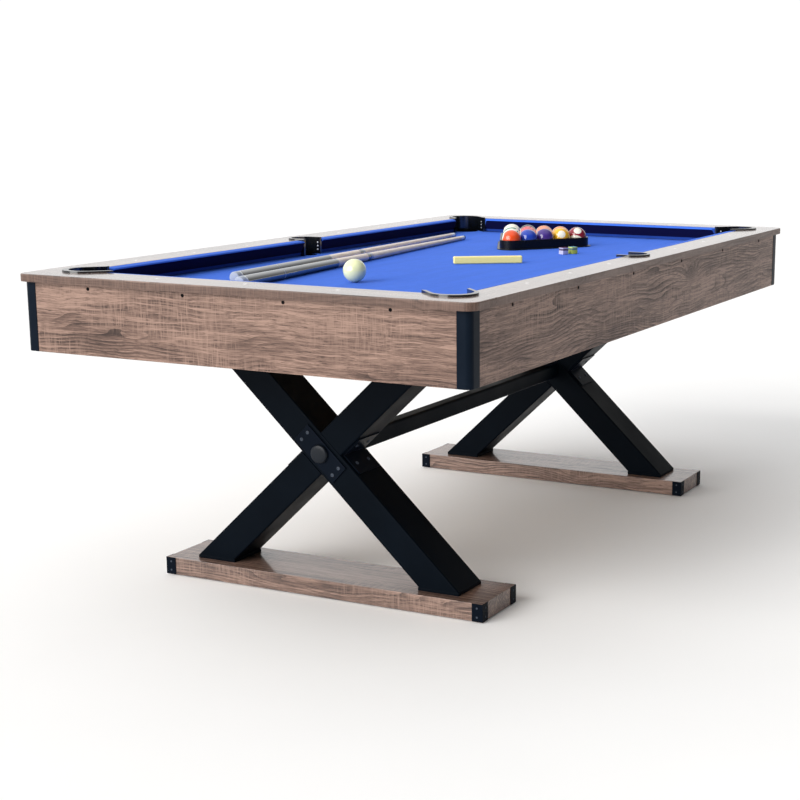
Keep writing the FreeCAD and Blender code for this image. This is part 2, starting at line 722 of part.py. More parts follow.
def make_legs():
    """Two X legs: one beam runs through and the other meets it from above and below."""
    plates = []
    skin = beam_wall / lean_sine
    skin_rise = skin * lean_sine / (2 * lean_cosine)
    for end, x_sign in (("head", -1), ("foot", 1)):
        start, stop = span(x_sign, leg_station - beam_depth / 2, leg_station + beam_depth / 2)
        low_y = leg_spread - beam_half_foot
        high_y = leg_spread + beam_half_foot
        through = [(-high_y, leg_foot), (-low_y, leg_foot), (high_y, leg_top), (low_y, leg_top)]
        bore = [(-high_y + skin, leg_foot), (-low_y - skin, leg_foot), (high_y - skin, leg_top),
                (low_y + skin, leg_top)]
        finished(tube(end + "_through_beam", through, bore, start, stop), end + "_leg_through_beam")
        upper = [(-high_y, leg_top), (-beam_half_foot, crossing), (0, crossing + notch_height),
                 (-low_y, leg_top)]
        bore = [(-high_y + skin, leg_top), (skin / 2 - beam_half_foot, crossing + skin_rise),
                (-skin / 2, crossing + notch_height - skin_rise), (-low_y - skin, leg_top)]
        finished(tube(end + "_upper_beam", upper, bore, start, stop), end + "_leg_upper_beam")
        lower = [(low_y, leg_foot), (high_y, leg_foot), (beam_half_foot, crossing),
                 (0, crossing - notch_height)]
        bore = [(low_y + skin, leg_foot), (high_y - skin, leg_foot),
                (beam_half_foot - skin / 2, crossing - skin_rise),
                (skin / 2, crossing - notch_height + skin_rise)]
        finished(tube(end + "_lower_beam", lower, bore, start, stop), end + "_leg_lower_beam")
        for y_sign in (-1, 1):
            near, far = span(y_sign, low_y, high_y)
            for level, bottom in (("foot", foot_board_top), ("top", leg_top)):
                plates.append(box(f"{end}_{level}_plate_{y_sign + 1}",
                                  (start - plate_overhang, near, bottom),
                                  (stop + plate_overhang, far, bottom + plate_thick)))
        finished(box(end + "_cross_member_bar",
                     (start - plate_overhang, -apron_inner_y, cross_member_bottom),
                     (stop + plate_overhang, apron_inner_y, board_bottom)), end + "_cross_member")
    finished(group("leg_plates_group", plates), "leg_plates")


def make_leg_fittings():
    """Cover plates and hub caps over the crossings, bent brackets in the notches, and screws."""
    covers, hubs, brackets, screws = [], [], [], []
    half_cover = cover_width / 2
    cover_corners = [(-cover_half_length, -half_cover), (cover_half_length, -half_cover),
                     (cover_half_length, half_cover), (-cover_half_length, half_cover)]
    cover_outline = [on_beam(1, along, across) for along, across in cover_corners]
    bend = bracket_thick / lean_sine
    for end, x_sign in (("head", -1), ("foot", 1)):
        station = mirrored(x_sign, leg_station)
        face = leg_station + beam_depth / 2
        low_x, high_x = span(x_sign, face, face + cover_thick)
        covers.append(prism(end + "_cover", "YZ", cover_outline, low_x, high_x))
        cover_face = mirrored(x_sign, face + cover_thick)
        hubs.append(cylinder(end + "_hub", (cover_face, 0, crossing), hub_radius, hub_rise,
                             (x_sign, 0, 0)))
        for number in range(4):
            along = cover_screw_along if number < 2 else -cover_screw_along
            across = cover_screw_across if number % 2 else -cover_screw_across
            y, z = on_beam(1, along, across)
            screws.append(cylinder(f"{end}_cover_screw_{number}", (cover_face, y, z),
                                   screw_radius, screw_rise, (x_sign, 0, 0)))
        for y_sign in (-1, 1):
            name = f"{end}_notch_{y_sign + 1}"
            tip_y = leaf_spot(0, 0)[0]
            far_y, drop = leaf_spot(bracket_leaf, 0)
            lift_y, lift = leaf_spot(bracket_leaf, bracket_thick)
            corners = [(tip_y, 0), (far_y, -drop), (lift_y, -lift), (tip_y + bend, 0),
                       (lift_y, lift), (far_y, drop)]
            outline = [(mirrored(y_sign, y), crossing + z) for y, z in corners]
            brackets.append(prism(name + "_bracket", "YZ", outline, station - bracket_width / 2,
                                  station + bracket_width / 2))
            for up in (-1, 1):
                y, rise = leaf_spot(bracket_screw_along, bracket_thick)
                for side in (-1, 1):
                    spot = (station + mirrored(side, bracket_screw_across), mirrored(y_sign, y),
                            crossing + mirrored(up, rise))
                    screw = cylinder(f"{name}_screw_{up + 1}_{side + 1}", spot, screw_radius, screw_rise)
                    lean = RIGHT_ANGLE + up * (RIGHT_ANGLE - lean_angle)
                    turn(screw, (1, 0, 0), mirrored(-y_sign, lean))
                    screws.append(screw)
    finished(group("cover_plates_group", covers), "leg_cover_plates")
    finished(group("hub_caps_group", hubs), "leg_hub_caps")
    finished(group("notch_brackets_group", brackets), "notch_brackets")
    finished(group("leg_screws_group", screws), "leg_screws")


def leaf_spot(along, out):
    """Along a bracket's upper leaf from the notch, and out from the beam's face: (across, up)."""
    across = beam_half_foot + size_of(along) * lean_cosine + size_of(out) * lean_sine
    up = size_of(along) * lean_sine - size_of(out) * lean_cosine
    return across, up


def make_feet():
    """Two foot boards with corner caps, cap screws and screw-out levellers under them."""
    caps, screws = [], []
    half_board = foot_board_width / 2
    half_span = foot_board_length / 2
    recess_top = foot_board_bottom + leveller_pad_height + recess_clearance
    stem_top = leveller_pad_height + leveller_stem_length
    for end, x_sign in (("head", -1), ("foot", 1)):
        station = mirrored(x_sign, leg_station)
        blank = box(end + "_foot_blank", (station - half_board, -half_span, foot_board_bottom),
                    (station + half_board, half_span, foot_board_top))
        holes = []
        for side, y_sign in (("right", -1), ("left", 1)):
            name = f"{end}_{side}"
            y = mirrored(y_sign, leveller_station)
            holes.append(cylinder(name + "_recess", (station, y, foot_board_bottom - 1),
                                  leveller_pad_radius + recess_clearance,
                                  recess_top - foot_board_bottom + 1))
            holes.append(cylinder(name + "_stem_hole", (station, y, foot_board_bottom),
                                  leveller_stem_radius + leveller_clearance,
                                  stem_top - foot_board_bottom + recess_clearance))
            pad = cylinder(name + "_pad", (station, y, 0), leveller_pad_radius, leveller_pad_height)
            stem = cylinder(name + "_stem", (station, y, leveller_pad_height - 1), leveller_stem_radius,
                            leveller_stem_length + 1)
            finished(fuse(name + "_leveller_shape", pad, stem), name + "_leveller")
        finished(cut(end + "_foot_board_shape", blank, *holes), end + "_foot_board")
        for y_sign in (-1, 1):
            for facing in (-1, 1):
                name = f"{end}_cap_{y_sign + 1}_{facing + 1}"
                corners = [(half_board, half_span), (half_board, half_span - cap_leaf),
                           (half_board + cap_thick, half_span - cap_leaf),
                           (half_board + cap_thick, half_span + cap_thick),
                           (half_board - cap_leaf, half_span + cap_thick),
                           (half_board - cap_leaf, half_span)]
                outline = [(station + mirrored(facing, x), mirrored(y_sign, y)) for x, y in corners]
                caps.append(prism(name, "XY", outline, foot_board_bottom, foot_board_top))
                middle = cap_leaf / 2
                for row in (-1, 1):
                    height = (foot_board_bottom + foot_board_top) / 2 + row * cap_screw_rows
                    spot = (station + mirrored(facing, half_board + cap_thick),
                            mirrored(y_sign, half_span - middle), height)
                    screws.append(cylinder(f"{name}_face_screw_{row + 1}", spot, cap_screw_radius,
                                           cap_screw_rise, (facing, 0, 0)))
                    spot = (station + mirrored(facing, half_board - middle),
                            mirrored(y_sign, half_span + cap_thick), height)
                    screws.append(cylinder(f"{name}_end_screw_{row + 1}", spot, cap_screw_radius,
                                           cap_screw_rise, (0, y_sign, 0)))
    finished(group("foot_caps_group", caps), "foot_board_caps")
    finished(group("foot_cap_screws_group", screws), "foot_cap_screws")


def make_stretcher():
    """The square tube between the two X legs and an angle bracket on top of each end."""
    reach = leg_station - beam_depth / 2
    half = stretcher_width / 2
    low = crossing - stretcher_height / 2
    high = crossing + stretcher_height / 2
    tube = box("stretcher_tube", (-reach, -half, low), (reach, half, high))
    bore = box("stretcher_bore", (-reach - 1, stretcher_wall - half, low + stretcher_wall),
               (reach + 1, half - stretcher_wall, high - stretcher_wall))
    finished(cut("stretcher_shape", tube, bore), "stretcher")
    angles = []
    for x_sign in (-1, 1):
        corners = [(reach, high), (reach, high + angle_leaf), (reach - angle_thick, high + angle_leaf),
                   (reach - angle_thick, high + angle_thick), (reach - angle_leaf, high + angle_thick),
                   (reach - angle_leaf, high)]
        outline = [(z, mirrored(x_sign, x)) for x, z in corners]
        angles.append(prism(f"stretcher_angle_{x_sign + 1}", "ZX", outline, -angle_width / 2,
                            angle_width / 2))
    finished(group("stretcher_brackets_group", angles), "stretcher_brackets")


# ---------------------------------------------------------------- what lies on the cloth
def sphere(name, x, y):
    """A ball on the cloth."""
    item = doc.addObject("Part::Sphere", name)
    bind(item, "Radius", ball_radius)
    return move(item, (x, y, bed_top + rest_gap + ball_radius))


ROWS = 5
rack_pitch = derived("rack_pitch", 2 * ball_radius + ball_gap)


def rack_rows():
    """The fifteen ball places in the rack's own frame, from the full row to the single ball."""
    row_step = rack_pitch * math.sqrt(3) / 2
    places = []
    for row in range(ROWS):
        count = ROWS - row
        for number in range(count):
            x = rack_pitch * (number - (count - 1) / 2)
            y = row_step * (row - (ROWS - 1) / 3)
            places.append((x, y))
    return places


def rounded_triangle(name, radius, bottom, top):
    """A triangle about the three corner balls with corners rounded at radius."""
    corners = [rack_rows()[0], rack_rows()[ROWS - 1], rack_rows()[-1]]
    outline = []
    rounds = []
    for number, (x, y) in enumerate(corners):
        rounds.append(cylinder(f"{name}_round_{number}", (x, y, bottom), radius, size_of(top) - bottom))
        for step in (-1, 1):
            lean = math.radians(-150 + 120 * number + 60 * step)
            outline.append((x + radius * math.cos(lean), y + radius * math.sin(lean)))
    middle = prism(name + "_middle", "XY", outline, bottom, top)
    return fuse(name, middle, *rounds)


def make_rack_and_balls():
    """The rack stands round fifteen balls, and the cue ball lies at the head of the table."""
    inner = ball_radius + rack_ball_clearance
    outer = inner + rack_wall
    top = rest_gap + rack_height
    wall = rounded_triangle("rack_outside", outer, rest_gap, top)
    flange = rounded_triangle("rack_flange", outer + rack_flange_width, rest_gap,
                              rest_gap + rack_flange_height)
    hollow = rounded_triangle("rack_hollow", inner, -1, top + 1)
    frame = cut("rack_shape", fuse("rack_solid", wall, flange), hollow)
    turn(frame, (0, 0, 1), rack_angle)
    finished(move(frame, (rack_x, rack_y, bed_top)), "rack")
    turned = math.radians(rack_angle.value)
    sine = Size(math.sin(turned), "sin(Sizes.rack_angle)")
    cosine = Size(math.cos(turned), "cos(Sizes.rack_angle)")
    balls = []
    for number, (x, y) in enumerate(rack_rows()):
        balls.append(sphere(f"ball_{number + 1}", rack_x + x * cosine - y * sine,
                            rack_y + x * sine + y * cosine))
    finished(group("object_balls_group", balls), "object_balls")
    finished(sphere("cue_ball_sphere", cue_ball_x, cue_ball_y), "cue_ball")


def make_cues():
    """Two cues that lie on the cloth, each a tapered butt screwed to a tapered shaft."""
    lean = math.atan2((cue_butt_radius - cue_tip_radius).value, cue_length.value)
    joint_radius = cue_butt_radius - (cue_butt_radius - cue_tip_radius) * cue_butt_length / cue_length
    rows = ((1, cue_1_x, cue_1_y, cue_1_angle), (2, cue_2_x, cue_2_y, cue_2_angle))
    for number, x, y, angle in rows:
        halves = (("butt", cone(f"cue_{number}_butt_cone", cue_butt_radius, joint_radius,
                                cue_butt_length, 0)),
                  ("shaft", cone(f"cue_{number}_shaft_cone", joint_radius, cue_tip_radius,
                                 cue_length - cue_butt_length, cue_butt_length)))
        for half, rod in halves:
            lying = group(f"cue_{number}_{half}_laid", [rod])
            tilt = FreeCAD.Rotation(Vector(0, 1, 0), math.degrees(lean))
            yaw = FreeCAD.Rotation(Vector(0, 0, 1), angle.value)
            lying.Placement = FreeCAD.Placement(Vector(), yaw.multiply(tilt))
            move(lying, (x, y, bed_top + rest_gap + cue_butt_radius))
            finished(lying, f"cue_{number}_{half}")


def laid_box(name, size, centre, angle, lift=0):
    """A block about its own centre, turned on the cloth."""
    half_x, half_y, height = (size[0] / 2, size[1] / 2, size[2])
    block = box(name + "_block", (-half_x + centre[2], -half_y + centre[3], lift),
                (half_x + centre[2], half_y + centre[3], lift + height))
    laid = group(name, [block])
    turn(laid, (0, 0, 1), angle)
    return move(laid, (centre[0], centre[1], bed_top + rest_gap))


def make_small_things():
    """Two chalk cubes and the table brush, which lies on its side."""
    cubes = []
    for number, x, y in ((1, chalk_1_x, chalk_1_y), (2, chalk_2_x, chalk_2_y)):
        cubes.append(laid_box(f"chalk_{number}", (chalk_size, chalk_size, chalk_size),
                              (x, y, size_of(0), size_of(0)), chalk_angle))
    finished(group("chalk_cubes_group", cubes), "chalk_cubes")
    place = (brush_x, brush_y, size_of(0), size_of(0))
    finished(laid_box("brush_body_block", (brush_length, brush_width, brush_height), place, brush_angle),
             "brush_body")
    offset = (brush_width + bristle_reach) / 2
    place = (brush_x, brush_y, size_of(0), offset)
    size = (brush_length - 2 * bristle_inset, bristle_reach, bristle_height)
    lift = (brush_height - bristle_height) / 2
    finished(laid_box("brush_bristles_block", size, place, brush_angle, lift), "brush_bristles")


# ---------------------------------------------------------------- build, check and write
def check_and_write():
    """Refuse a document with a failed object, then write one STEP file for each sub-part."""
    doc.recompute()
    for item in doc.Objects:
        if {"Invalid", "Error"} & set(item.State):
            raise RuntimeError(f"{item.Label} failed: {item.State}")
    labels = [item.Label for item in sub_parts]
    if len(set(labels)) != len(labels):
        raise RuntimeError("two sub-parts share a label")
    for item in sub_parts:
        if item.Shape.isNull() or not item.Shape.isValid():
            raise RuntimeError(f"{item.Label} has no valid shape")
    os.makedirs("parts", exist_ok=True)
    for item in sub_parts:
        item.Shape.exportStep(f"parts/{item.Label}.step")
        bounds = item.Shape.BoundBox
        print(f"{item.Label}: {len(item.Shape.Solids)} solids, {item.Shape.Volume / 1000:.1f} cm3, "
              f"x {bounds.XMin:.1f} {bounds.XMax:.1f}, y {bounds.YMin:.1f} {bounds.YMax:.1f}, "
              f"z {bounds.ZMin:.1f} {bounds.ZMax:.1f}")
    print(f"{len(sub_parts)} sub-parts")


make_rail_caps()
make_cushions()
make_bed()
make_pockets()
make_sights()
make_cabinet()
make_legs()
make_leg_fittings()
make_feet()
make_stretcher()
make_rack_and_balls()
make_cues()
make_small_things()
check_and_write()
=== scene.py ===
"""Pool table on X legs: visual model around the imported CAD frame. Metres."""
import math
import random

import bmesh
import bpy
from mathutils import Matrix, Vector


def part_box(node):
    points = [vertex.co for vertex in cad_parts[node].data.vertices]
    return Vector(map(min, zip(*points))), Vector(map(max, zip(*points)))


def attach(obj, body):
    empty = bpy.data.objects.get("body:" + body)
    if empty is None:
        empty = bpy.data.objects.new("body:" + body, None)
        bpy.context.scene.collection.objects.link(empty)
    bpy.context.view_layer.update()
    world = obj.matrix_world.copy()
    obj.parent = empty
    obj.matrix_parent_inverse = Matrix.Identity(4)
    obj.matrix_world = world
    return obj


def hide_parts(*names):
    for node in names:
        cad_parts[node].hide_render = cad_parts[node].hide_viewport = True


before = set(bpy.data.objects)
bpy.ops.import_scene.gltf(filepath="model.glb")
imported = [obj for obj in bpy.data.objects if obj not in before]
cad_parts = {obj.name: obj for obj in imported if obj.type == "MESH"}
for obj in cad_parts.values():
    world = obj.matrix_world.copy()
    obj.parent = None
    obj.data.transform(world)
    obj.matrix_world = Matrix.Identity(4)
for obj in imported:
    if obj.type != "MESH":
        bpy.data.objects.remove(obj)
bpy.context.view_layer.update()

MM = 0.001
SAME_PLACE = 0.01 * MM
UP = Vector((0, 0, 1))
TABLE = "table"


# ---------------------------------------------------------------- node materials
class Shader:
    """A node material built up one node at a time."""

    def __init__(self, name, roughness=0.5, **sockets):
        self.material = bpy.data.materials.new(name)
        self.material.use_nodes = True
        self.tree = self.material.node_tree
        self.bsdf = self.tree.nodes["Principled BSDF"]
        self.bsdf.inputs["Roughness"].default_value = roughness
        for socket, value in sockets.items():
            self.bsdf.inputs[socket.replace("_", " ")].default_value = value

    def node(self, kind, links=None, **settings):
        """Add a node, set its fields and values, and link its inputs."""
        item = self.tree.nodes.new(kind)
        for name, value in settings.items():
            setattr(item, name, value)
        for name, value in (links or {}).items():
            if isinstance(value, bpy.types.NodeSocket):
                self.tree.links.new(value, item.inputs[name])
            else:
                item.inputs[name].default_value = value
        return item

    def math(self, operation, *values):
        return self.node("ShaderNodeMath", dict(enumerate(values)), operation=operation).outputs[0]

    def vector_math(self, operation, first, second):
        return self.node("ShaderNodeVectorMath", {0: first, 1: second}, operation=operation).outputs[0]

    def scaled(self, vector, scale):
        return self.node("ShaderNodeMapping", {"Vector": vector, "Scale": scale}).outputs[0]

    def weighted(self, *terms):
        """Sum of (socket, weight) pairs."""
        total = None
        for socket, weight in terms:
            part = self.math("MULTIPLY", socket, weight)
            total = part if total is None else self.math("ADD", total, part)
        return total

    def place(self, scale=(1, 1, 1), turn=(0, 0, 0), shift=(0, 0, 0)):
        """Object coordinates, scaled, turned and shifted."""
        source = self.node("ShaderNodeTexCoord").outputs["Object"]
        item = self.node("ShaderNodeMapping", {"Vector": source, "Scale": scale, "Rotation": turn,
                                               "Location": shift})
        return item.outputs[0]

    def noise(self, vector, scale, detail=3.0, roughness=0.5, distortion=0.0):
        item = self.node("ShaderNodeTexNoise", {"Vector": vector, "Scale": scale, "Detail": detail,
                                                "Roughness": roughness, "Distortion": distortion})
        return item.outputs["Fac"]

    def ramp(self, factor, *stops):
        """Colour ramp from (place, colour) pairs."""
        item = self.node("ShaderNodeValToRGB", {"Fac": factor})
        elements = item.color_ramp.elements
        while len(elements) < len(stops):
            elements.new(0.5)
        for element, (position, colour) in zip(elements, stops):
            element.position = position
            element.color = (*colour, 1)
        return item.outputs["Color"]

    def range(self, value, low, high, out_low=0.0, out_high=1.0):
        links = {"Value": value, "From Min": low, "From Max": high, "To Min": out_low,
                 "To Max": out_high}
        return self.node("ShaderNodeMapRange", links).outputs["Result"]

    def mix(self, factor, first, second):
        item = self.node("ShaderNodeMix", data_type="RGBA")
        for socket, value in (("Factor", factor), ("A", first), ("B", second)):
            slot = [s for s in item.inputs if s.name == socket and s.enabled][0]
            if isinstance(value, bpy.types.NodeSocket):
                self.tree.links.new(value, slot)
            else:
                slot.default_value = value if socket == "Factor" else (*value, 1)
        return [s for s in item.outputs if s.enabled][0]

    def axes(self, vector):
        return self.node("ShaderNodeSeparateXYZ", {0: vector}).outputs

    def colour(self, socket):
        self.tree.links.new(socket, self.bsdf.inputs["Base Color"])

    def rough(self, socket):
        self.tree.links.new(socket, self.bsdf.inputs["Roughness"])

    def bump(self, height, strength, distance):
        item = self.node("ShaderNodeBump", {"Height": height, "Strength": strength,
                                            "Distance": distance})
        self.tree.links.new(item.outputs[0], self.bsdf.inputs["Normal"])


def srgb(red, green, blue):
    """A screen colour, 0 to 255, as linear light."""
    def linear(channel):
        channel /= 255
        return channel / 12.92 if channel <= 0.04045 else ((channel + 0.055) / 1.055) ** 2.4
    return tuple(linear(channel) for channel in (red, green, blue))


PALE_OAK = srgb(150, 122, 108)
MIDDLE_OAK = srgb(99, 76, 66)
DARK_OAK = srgb(50, 34, 28)
BALL = (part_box("cue_ball")[1].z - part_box("cue_ball")[0].z) / 2


def laminate(name, grain, seed, coat=0.0, banded=False):
    """Weathered oak laminate: wavy fibres, rings, knots and pale saw marks across the grain.

    A banded board has fine cross-banding and little coat on its upright edges.
    """
    s = Shader(name, roughness=0.45, Specular_IOR_Level=0.3, Coat_Weight=coat,
               Coat_Roughness=0.12, Coat_IOR=1.7)
    turn = {"X": (0, 0, 0), "Y": (0, 0, -math.pi / 2)}[grain]
    board = s.place(turn=turn, shift=(seed * 1.37, seed * 0.71, seed * 0.29))
    sway = s.node("ShaderNodeTexNoise", {"Vector": s.scaled(board, (5.0, 9.0, 9.0)), "Scale": 1.0,
                                         "Detail": 2.0})
    centred = s.vector_math("SUBTRACT", sway.outputs["Color"], (0.5, 0.5, 0.5))
    push = s.vector_math("MULTIPLY", centred, (0.0, 0.02, 0.02))
    cells = s.node("ShaderNodeTexVoronoi", {"Vector": s.scaled(board, (1.0, 2.6, 2.6)), "Scale": 2.3})
    knot = s.math("POWER", s.range(cells.outputs["Distance"], 0.0, 0.26, 1.0, 0.0), 2.0)
    lift = s.math("MULTIPLY", knot, 0.03)
    raised = s.node("ShaderNodeCombineXYZ", {"Y": lift, "Z": lift}).outputs[0]
    swayed = s.vector_math("ADD", s.vector_math("ADD", board, push), raised)

    def stretched(along, across, source=swayed):
        return s.scaled(source, (along, across, across))

    lines = s.axes(swayed)
    drift = s.math("MULTIPLY", s.noise(stretched(1.6, 9.0), 1.0, detail=2.0), 0.16)
    phase = s.math("ADD", s.math("ADD", lines[1], lines[2]), drift)
    ring = s.math("POWER", s.math("FRACT", s.math("MULTIPLY", phase, 105.0)), 3.0)
    fade = s.range(s.noise(stretched(1.6, 8.0), 2.0, detail=2.0), 0.40, 0.62)
    fibre = s.noise(stretched(13.0, 560.0), 1.0, detail=5.0, roughness=0.7)
    streak = s.noise(stretched(3.0, 120.0), 1.0, detail=4.0, roughness=0.6)
    tone = s.noise(stretched(1.2, 5.0), 1.8, detail=3.0)
    pores = s.range(s.noise(stretched(38.0, 700.0), 1.0, detail=2.0), 0.58, 0.68)
    value = s.weighted((s.math("MULTIPLY", ring, fade), 0.26), (fibre, 0.46), (streak, 0.34),
                       (tone, 0.14), (pores, 0.12), (knot, 0.10))
    wood = s.ramp(value, (0.40, PALE_OAK), (0.52, MIDDLE_OAK), (0.66, DARK_OAK))
    saw = s.range(s.noise(stretched(310.0, 20.0, board), 1.0, detail=2.0), 0.54, 0.66)
    wavy = s.range(s.noise(stretched(120.0, 16.0, board), 1.0, detail=3.0), 0.50, 0.64)
    patch = s.range(s.noise(stretched(4.0, 8.0, board), 1.0, detail=3.0), 0.44, 0.58)
    marks = s.math("MULTIPLY", s.math("MAXIMUM", saw, s.math("MULTIPLY", wavy, 0.6)), patch)
    wood = s.mix(s.math("MULTIPLY", marks, 0.62), wood, PALE_OAK)
    if banded:
        normal = s.node("ShaderNodeNewGeometry").outputs["True Normal"]
        upright = s.range(s.axes(normal)[2], 0.3, 0.5, 1.0, 0.0)
        comb = s.noise(s.scaled(board, (420.0, 420.0, 4.0)), 1.0, detail=3.0)
        shade = tuple(0.5 * low + 0.4 * high for low, high in zip(DARK_OAK, MIDDLE_OAK))
        banding = s.ramp(comb, (0.36, shade), (0.64, MIDDLE_OAK))
        wood = s.mix(s.math("MULTIPLY", upright, 0.75), wood, banding)
        s.tree.links.new(s.range(upright, 0.0, 1.0, coat, 0.1), s.bsdf.inputs["Coat Weight"])
    s.colour(wood)
    s.rough(s.range(value, 0.35, 0.75, 0.40, 0.56))
    s.bump(s.math("SUBTRACT", 1.0, value), 0.3, 0.0004)
    return s.material


def cloth(name, lit, shade):
    """Napped billiard cloth: fine weave, short nap and faint brushing, with painted shade on undercut
    faces.
    """
    s = Shader(name, roughness=0.92, Sheen_Weight=0.03, Sheen_Roughness=0.5, Specular_IOR_Level=0.1)
    place = s.place()
    nap = s.noise(place, 1500.0, detail=3.0, roughness=0.7)
    brushed = s.noise(s.place(scale=(1, 6, 6)), 5.0, detail=4.0)
    mottle = s.noise(place, 38.0, detail=5.0, roughness=0.6)
    blend = s.weighted((nap, 0.5), (brushed, 0.3), (mottle, 0.2))
    dim = tuple(channel * 0.84 for channel in lit)
    bright = tuple(min(1.0, channel * 1.12) for channel in lit)
    face = s.ramp(blend, (0.3, dim), (0.7, bright))
    normal = s.axes(s.node("ShaderNodeNewGeometry").outputs["True Normal"])
    # Painted shade: faces turned downward, such as those under the cushion noses, take the dark shade
    # colour.
    under = s.range(normal[2], -0.15, 0.1, 1.0, 0.0)
    s.colour(s.mix(under, face, shade))
    s.bump(nap, 0.25, 0.0004)
    return s.material


def coated_metal(name, base, roughness=0.42):
    """Powder-coated steel with a fine orange-peel texture and a little wear."""
    s = Shader(name, roughness=roughness, Specular_IOR_Level=0.03)
    place = s.place()
    peel = s.noise(place, 900.0, detail=2.0, roughness=0.6)
    cloud = s.noise(place, 9.0, detail=4.0)
    light = tuple(channel * 1.4 for channel in base)
    s.colour(s.ramp(cloud, (0.3, base), (0.75, light)))
    s.rough(s.range(cloud, 0.3, 0.7, roughness - 0.07, roughness + 0.08))
    s.bump(peel, 0.18, 0.0003)
    return s.material


def moulded_plastic(name, base, roughness=0.35, level=0.2):
    """Moulded plastic with a fine spark-eroded texture."""
    s = Shader(name, roughness=roughness, Specular_IOR_Level=level)
    place = s.place()
    grain = s.noise(place, 1200.0, detail=2.0)
    cloud = s.noise(place, 14.0, detail=3.0)
    light = tuple(min(1.0, channel * 1.25 + 0.001) for channel in base)
    s.colour(s.ramp(cloud, (0.35, base), (0.7, light)))
    s.rough(s.range(grain, 0.3, 0.7, roughness - 0.04, roughness + 0.06))
    s.bump(grain, 0.12, 0.0002)
    return s.material


def fibre_board(name, base):
    """Plain board with pressed fibres."""
    s = Shader(name, roughness=0.75)
    place = s.place()
    speck = s.noise(place, 420.0, detail=4.0, roughness=0.7)
    dark = tuple(channel * 0.72 for channel in base)
    s.colour(s.ramp(speck, (0.3, dark), (0.7, base)))
    s.bump(speck, 0.2, 0.0003)
    return s.material


def pearl(name):
    """Pearl plastic for the sights."""
    s = Shader(name, roughness=0.18, Coat_Weight=0.4)
    swirl = s.noise(s.place(), 260.0, detail=3.0, distortion=1.5)
    s.colour(s.ramp(swirl, (0.35, (0.90, 0.90, 0.91)), (0.65, (0.98, 0.97, 0.95))))
    return s.material


def polished_maple(name):
    """Maple with fine straight grain along the cue under clear lacquer."""
    s = Shader(name, roughness=0.25, Coat_Weight=0.6, Coat_Roughness=0.12)
    grain = s.noise(s.place(scale=(3.0, 260.0, 260.0)), 1.0, detail=4.0, roughness=0.6)
    s.colour(s.ramp(grain, (0.3, srgb(226, 200, 174)), (0.7, srgb(250, 234, 216))))
    s.bump(grain, 0.08, 0.0002)
    return s.material


def gloss(name, base, roughness, coat_ior=1.5):
    """Gloss lacquer or resin with very faint waviness."""
    s = Shader(name, roughness=roughness, Coat_Weight=0.8, Coat_Roughness=0.04, Coat_IOR=coat_ior,
               Coat_Tint=(0.9, 0.95, 1.0, 1.0))
    cloud = s.noise(s.place(), 60.0, detail=3.0)
    other = tuple(min(1.0, channel * 1.12 + 0.002) for channel in base)
    s.colour(s.ramp(cloud, (0.35, base), (0.7, other)))
    s.rough(s.range(cloud, 0.3, 0.7, roughness * 0.8, roughness * 1.6))
    return s.material


def ball_shader(name, base, striped):
    """Polished resin ball: a solid or striped colour and two white number spots on its own X axis."""
    s = Shader(name, roughness=0.06, Coat_Weight=0.5, Coat_Roughness=0.03)
    place = s.axes(s.place(scale=(1 / BALL, 1 / BALL, 1 / BALL)))
    white = srgb(243, 240, 222)
    spot = s.range(s.math("ABSOLUTE", place[0]), 0.905, 0.915)
    speckle = s.noise(s.place(), 300.0, detail=2.0)
    rich = s.ramp(speckle, (0.3, tuple(channel * 0.92 for channel in base)), (0.7, base))
    if striped:
        stripe = s.range(s.math("ABSOLUTE", place[2]), 0.555, 0.57, 1.0, 0.0)
        rich = s.mix(stripe, white, rich)
    s.colour(s.mix(spot, rich, white))
    return s.material


# ---------------------------------------------------------------- meshes from CAD nodes
def mesh_from(work, name):
    """End a bmesh as a mesh of the given name."""
    mesh = bpy.data.meshes.new(name)
    work.to_mesh(mesh)
    work.free()
    return mesh


def smooth(mesh):
    mesh.polygons.foreach_set("use_smooth", [True] * len(mesh.polygons))


def finished_piece(name, work, material, node, body=TABLE, angle=35):
    """Show a bmesh in place of a CAD node, with smooth faces and sharp corners."""
    mesh = mesh_from(work, name)
    piece = bpy.data.objects.new(name, mesh)
    bpy.context.scene.collection.objects.link(piece)
    mesh.materials.append(material)
    smooth(mesh)
    mesh.set_sharp_from_angle(angle=math.radians(angle))
    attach(piece, body)
    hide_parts(node)
    return piece


def clean_copy(node):
    """A CAD node's mesh as a bmesh with its flat faces made whole."""
    work = bmesh.new()
    work.from_mesh(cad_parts[node].data)
    bmesh.ops.remove_doubles(work, verts=work.verts, dist=1e-6)
    bmesh.ops.dissolve_limit(work, angle_limit=math.radians(0.6), verts=work.verts, edges=work.edges,
                             delimit={"NORMAL"})
    return work


def softened(node, radius, material, body=TABLE, segments=3, wanted=None, sharp=40):
    """A CAD node with the sharp edges that are wanted rounded to a radius."""
    work = clean_copy(node)
    edges = [edge for edge in work.edges if len(edge.link_faces) == 2
             and edge.calc_face_angle(0) > math.radians(sharp) and (wanted is None or wanted(edge))]
    bmesh.ops.bevel(work, geom=edges, offset=radius, segments=segments, profile=0.5, affect="EDGES",
                    clamp_overlap=True)
    piece = finished_piece(f"{node}_skin", work, material, node, body=body)
    weighted = piece.modifiers.new("weighted", "WEIGHTED_NORMAL")
    weighted.keep_sharp = True


